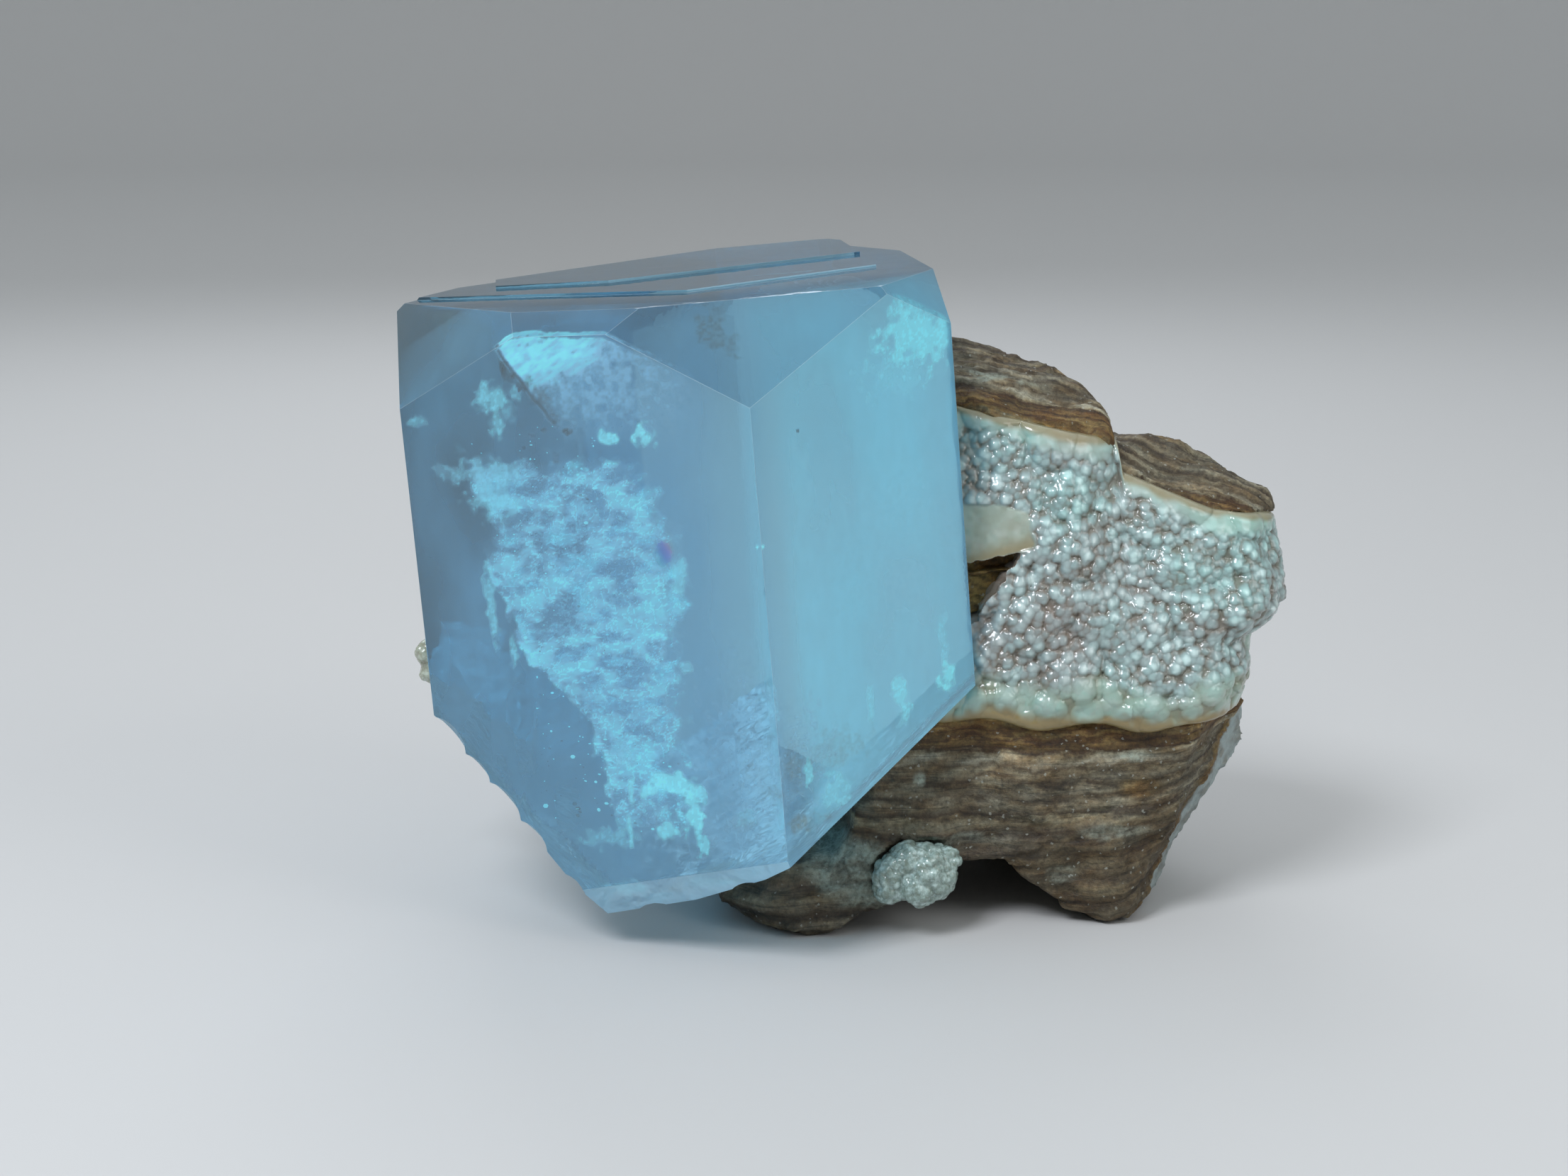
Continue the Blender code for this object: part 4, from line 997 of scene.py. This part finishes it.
def make_rock(room):
    """Rock with thin layers that stand out and back by a few tenths of a millimetre.

    Each point moves along its normal by streaks, which are noise drawn out along the layers, by lumps and
    by fine noise. The bay beside the crystal comes forward to close its back. The attributes say where the
    pale skin, the crusts of grains and the rust are, how deep each layer is and what stands out.
    """
    piece = new_piece("rock", merged_copy("matrix_rock"))
    even_skin(piece, ROCK_SKIN)
    place, normal = read_points(piece.data)
    x, y, z = np.moveaxis(place - SHIFT, -1, 0)
    depth = layer_depth(place) + fractal(place / 8.0, 2, 61) * (0.3 + 0.9 * step(y, -9.0, 0.0))
    streak = fractal(joined(place[:, 0] / 4.0, place[:, 1] / 4.0, depth / 0.7), 4, 71)
    lumps = fractal(place / 2.2, 3, 81)
    fine = fractal(place / 0.6, 2, 91)
    wobble = 0.5 * fractal(place / 1.4, 2, 95)
    front = step(-6.0 - y, 1.0)
    from_edge = SIDE_FOOT + SIDE_LEAN * (z - 0.5) - x + 0.35 * wobble
    skin = step(1.0 - from_edge, 0.25) * step(CRUST_FOOT - z, 0.8) * step(normal[:, 0], 0.1, 0.3)
    back_skin = step(normal[:, 0], 0.3, 0.5) * step(CRUST_FOOT - z, 1.5) * step(y, -6.5, -6.0)
    skin = np.maximum(skin, back_skin * step(x, 22.0, 24.0))
    skin = skin * (0.55 + 0.45 * step(fractal(place / 1.2, 3, 97), -0.6, 0.2))
    seam = step(1.6 - from_edge, 0.3) * step(CRUST_FOOT - z, 1.0) * (1.0 - skin) * front
    plate = 0.8 * blob(x, z + 0.2 * (x - 14.0) + wobble, (14.0, 49.2), (5.0, 0.5))
    for centre, size, share in PLATES:
        plate = np.maximum(plate, share * blob(x + 0.6 * wobble, z + 0.4 * wobble, centre, size))
    plate = plate * (0.35 + 0.65 * step(streak + 0.6 * fine, -0.5, 0.3))
    low, high = BAY_HEIGHTS
    bay = step(BAY_RIGHT - x, 0.5) * step(z, low, low + 1.0) * step(high - z, 0.5) * step(BAY_BACK - y, 1.0)
    stripes = np.sin((z - 0.27 * x + 0.03 * x * x) * 6.6 + 0.6 * wobble)
    block_top = 5.2 + 0.4 * (x - 11.5) - 0.003 * (x - 11.5) ** 2
    block = step(block_top + wobble - z, 0.35) * step(x, 10.0, 12.0)
    shoulder = step(20.5 - z, 0.5) * step(2.6 - depth, 2.0) * step(normal[:, 1] * -1.0, 0.3, 0.6)
    rise = LAYER_RELIEF * step(streak, -0.2, 0.2) + LUMP_RELIEF * lumps
    rise = rise * (1.0 - 0.7 * skin) + 0.06 * fine
    moved = place + normal * (rise - 0.15 - 0.35 * block + 0.35 * shoulder)[:, None]
    moved[:, 1] -= BAY_FORWARD * bay * step(y, -12.5, -9.5)
    moved[:, 2] = np.maximum(moved[:, 2], 0.0)
    write_points(piece.data, moved)
    rust = np.maximum(0.85 * bay, 0.6 * blob(x + wobble, z, (26.7, 12.8), (2.0, 0.9)))
    rust = np.maximum(np.maximum(rust, 0.8 * seam), 0.2 * block)
    relief = np.clip(0.5 + 0.45 * streak + 0.15 * fine, 0.0, 1.0) * (1.0 - 0.5 * block)
    relief = relief * (1.0 - bay) + bay * (0.75 + 0.8 * stripes)
    plate = np.clip(plate * front, 0.0, 1.0)
    attributes(piece.data, depth=depth, plate=plate, relief=relief, skin=skin, rust=rust)
    cut_away(piece, room)
    take_place(piece, "matrix_rock", layered_rock())


def make_lump(name, node, finish, room, *, size, height, grow):
    """Lump of small fused balls over a CAD lump: each point rises by the heap of balls and a growth."""
    piece = new_piece(name, merged_copy(node))
    even_skin(piece, LUMP_SKIN)
    place, normal = read_points(piece.data)
    balls, _ = grains(place / size, 0.4, 0.8, 0.15, 7)
    write_points(piece.data, place + normal * (height * (balls - 0.6) + grow)[:, None])
    cut_away(piece, room)
    take_place(piece, node, finish)


# --- Room, light and camera ---
def make_floor():
    """Plain pale floor that sweeps up on every side into a far wall: a profile turned round the Z axis."""
    turn = np.linspace(0.0, 2.0 * math.pi, 97)[:-1]
    bend = np.linspace(0.0, math.pi / 2.0, 17)
    wall = FLOOR_REACH + FLOOR_BEND
    radius = np.concatenate([(0.001, 400.0, 900.0), FLOOR_REACH + FLOOR_BEND * np.sin(bend), (wall,)])
    height = np.concatenate([(0.0, 0.0, 0.0), FLOOR_BEND * (1.0 - np.cos(bend)), (WALL_HEIGHT,)])
    points = joined(np.outer(radius, np.cos(turn)), np.outer(radius, np.sin(turn)), height[:, None])
    floor = new_object("floor", mesh_of("floor", points, grid_faces(*points.shape[:2], ring=True)))
    finish, _, shader, _ = material("pale floor")
    connect(shader, {"Base Color": colour("#c9c9c8"), "Roughness": 0.8})
    floor.data.materials.append(finish)


def make_light(name, place, size, power, tint):
    """Square soft light that looks at the middle of the object."""
    data = bpy.data.lights.new(name, "AREA")
    data.shape = "SQUARE"
    data.size = size * MM
    data.energy = power
    data.color = colour(tint)[:3]
    lamp = new_object(name, data)
    lamp.location = Vector(place) * MM
    lamp.rotation_euler = (Vector(LIGHT_TARGET) - Vector(place)).to_track_quat("-Z", "Y").to_euler()


def make_world():
    """Even grey-white surroundings."""
    world = bpy.data.worlds.new("studio")
    world.use_nodes = True
    connect(world.node_tree.nodes["Background"], {"Color": colour("#c9ced2"), "Strength": 1.12})
    bpy.context.scene.world = world


def make_camera():
    """Camera 240 mm from the crystal's middle, 12 degrees above it."""
    data = bpy.data.cameras.new("camera")
    data.lens = LENS
    data.sensor_width = SENSOR_WIDTH
    data.clip_start = 0.01
    data.clip_end = 20.0
    camera = new_object("camera", data)
    camera.location = Vector(CAMERA_PLACE) * MM
    ahead = Vector(CRYSTAL_ORIGIN) - Vector(CAMERA_PLACE)
    camera.rotation_euler = ahead.to_track_quat("-Z", "Y").to_euler()
    bpy.context.scene.camera = camera


def main():
    """Build the pieces, from the crystal and what is inside it to the rock, then the room round them."""
    room = crystal_room(ROOM)
    recess = recess_room()
    make_crystal()
    veil = veil_finish()
    feather(veil)
    for row in CLOUDS:
        cloud(veil, *row)
    for row in HAZES:
        haze(veil, *row)
    for row in VEIL_SPOTS:
        spots(veil, *row)
    stain = stain_finish()
    for row in STAINS:
        spots(stain, *row)
    inclusions(veil, FLAKES)
    rainbow(rainbow_finish())
    make_crust((room, recess))
    make_rock(room)
    opal = glassy_lump("hyalite opal", ("#76857a", "#8ea29b", "#b6cbc6"))
    make_lump("knob", "hyalite_knob", opal, room, size=0.6, height=0.4, grow=0.35)
    cream = glassy_lump("cream chalcedony", ("#8b8c78", "#a2a896", "#c4cdbe"))
    make_lump("bead", "cream_bead", cream, room, size=1.0, height=0.35, grow=0.1)
    for cutter in (room, recess):
        bpy.data.objects.remove(cutter, do_unlink=True)
    make_floor()
    make_world()
    for row in LIGHTS:
        make_light(*row)
    make_camera()
    scene = bpy.context.scene
    scene.view_settings.view_transform = "Standard"
    scene.cycles.use_denoising = True
    scene.cycles.transparent_max_bounces = 32


main()
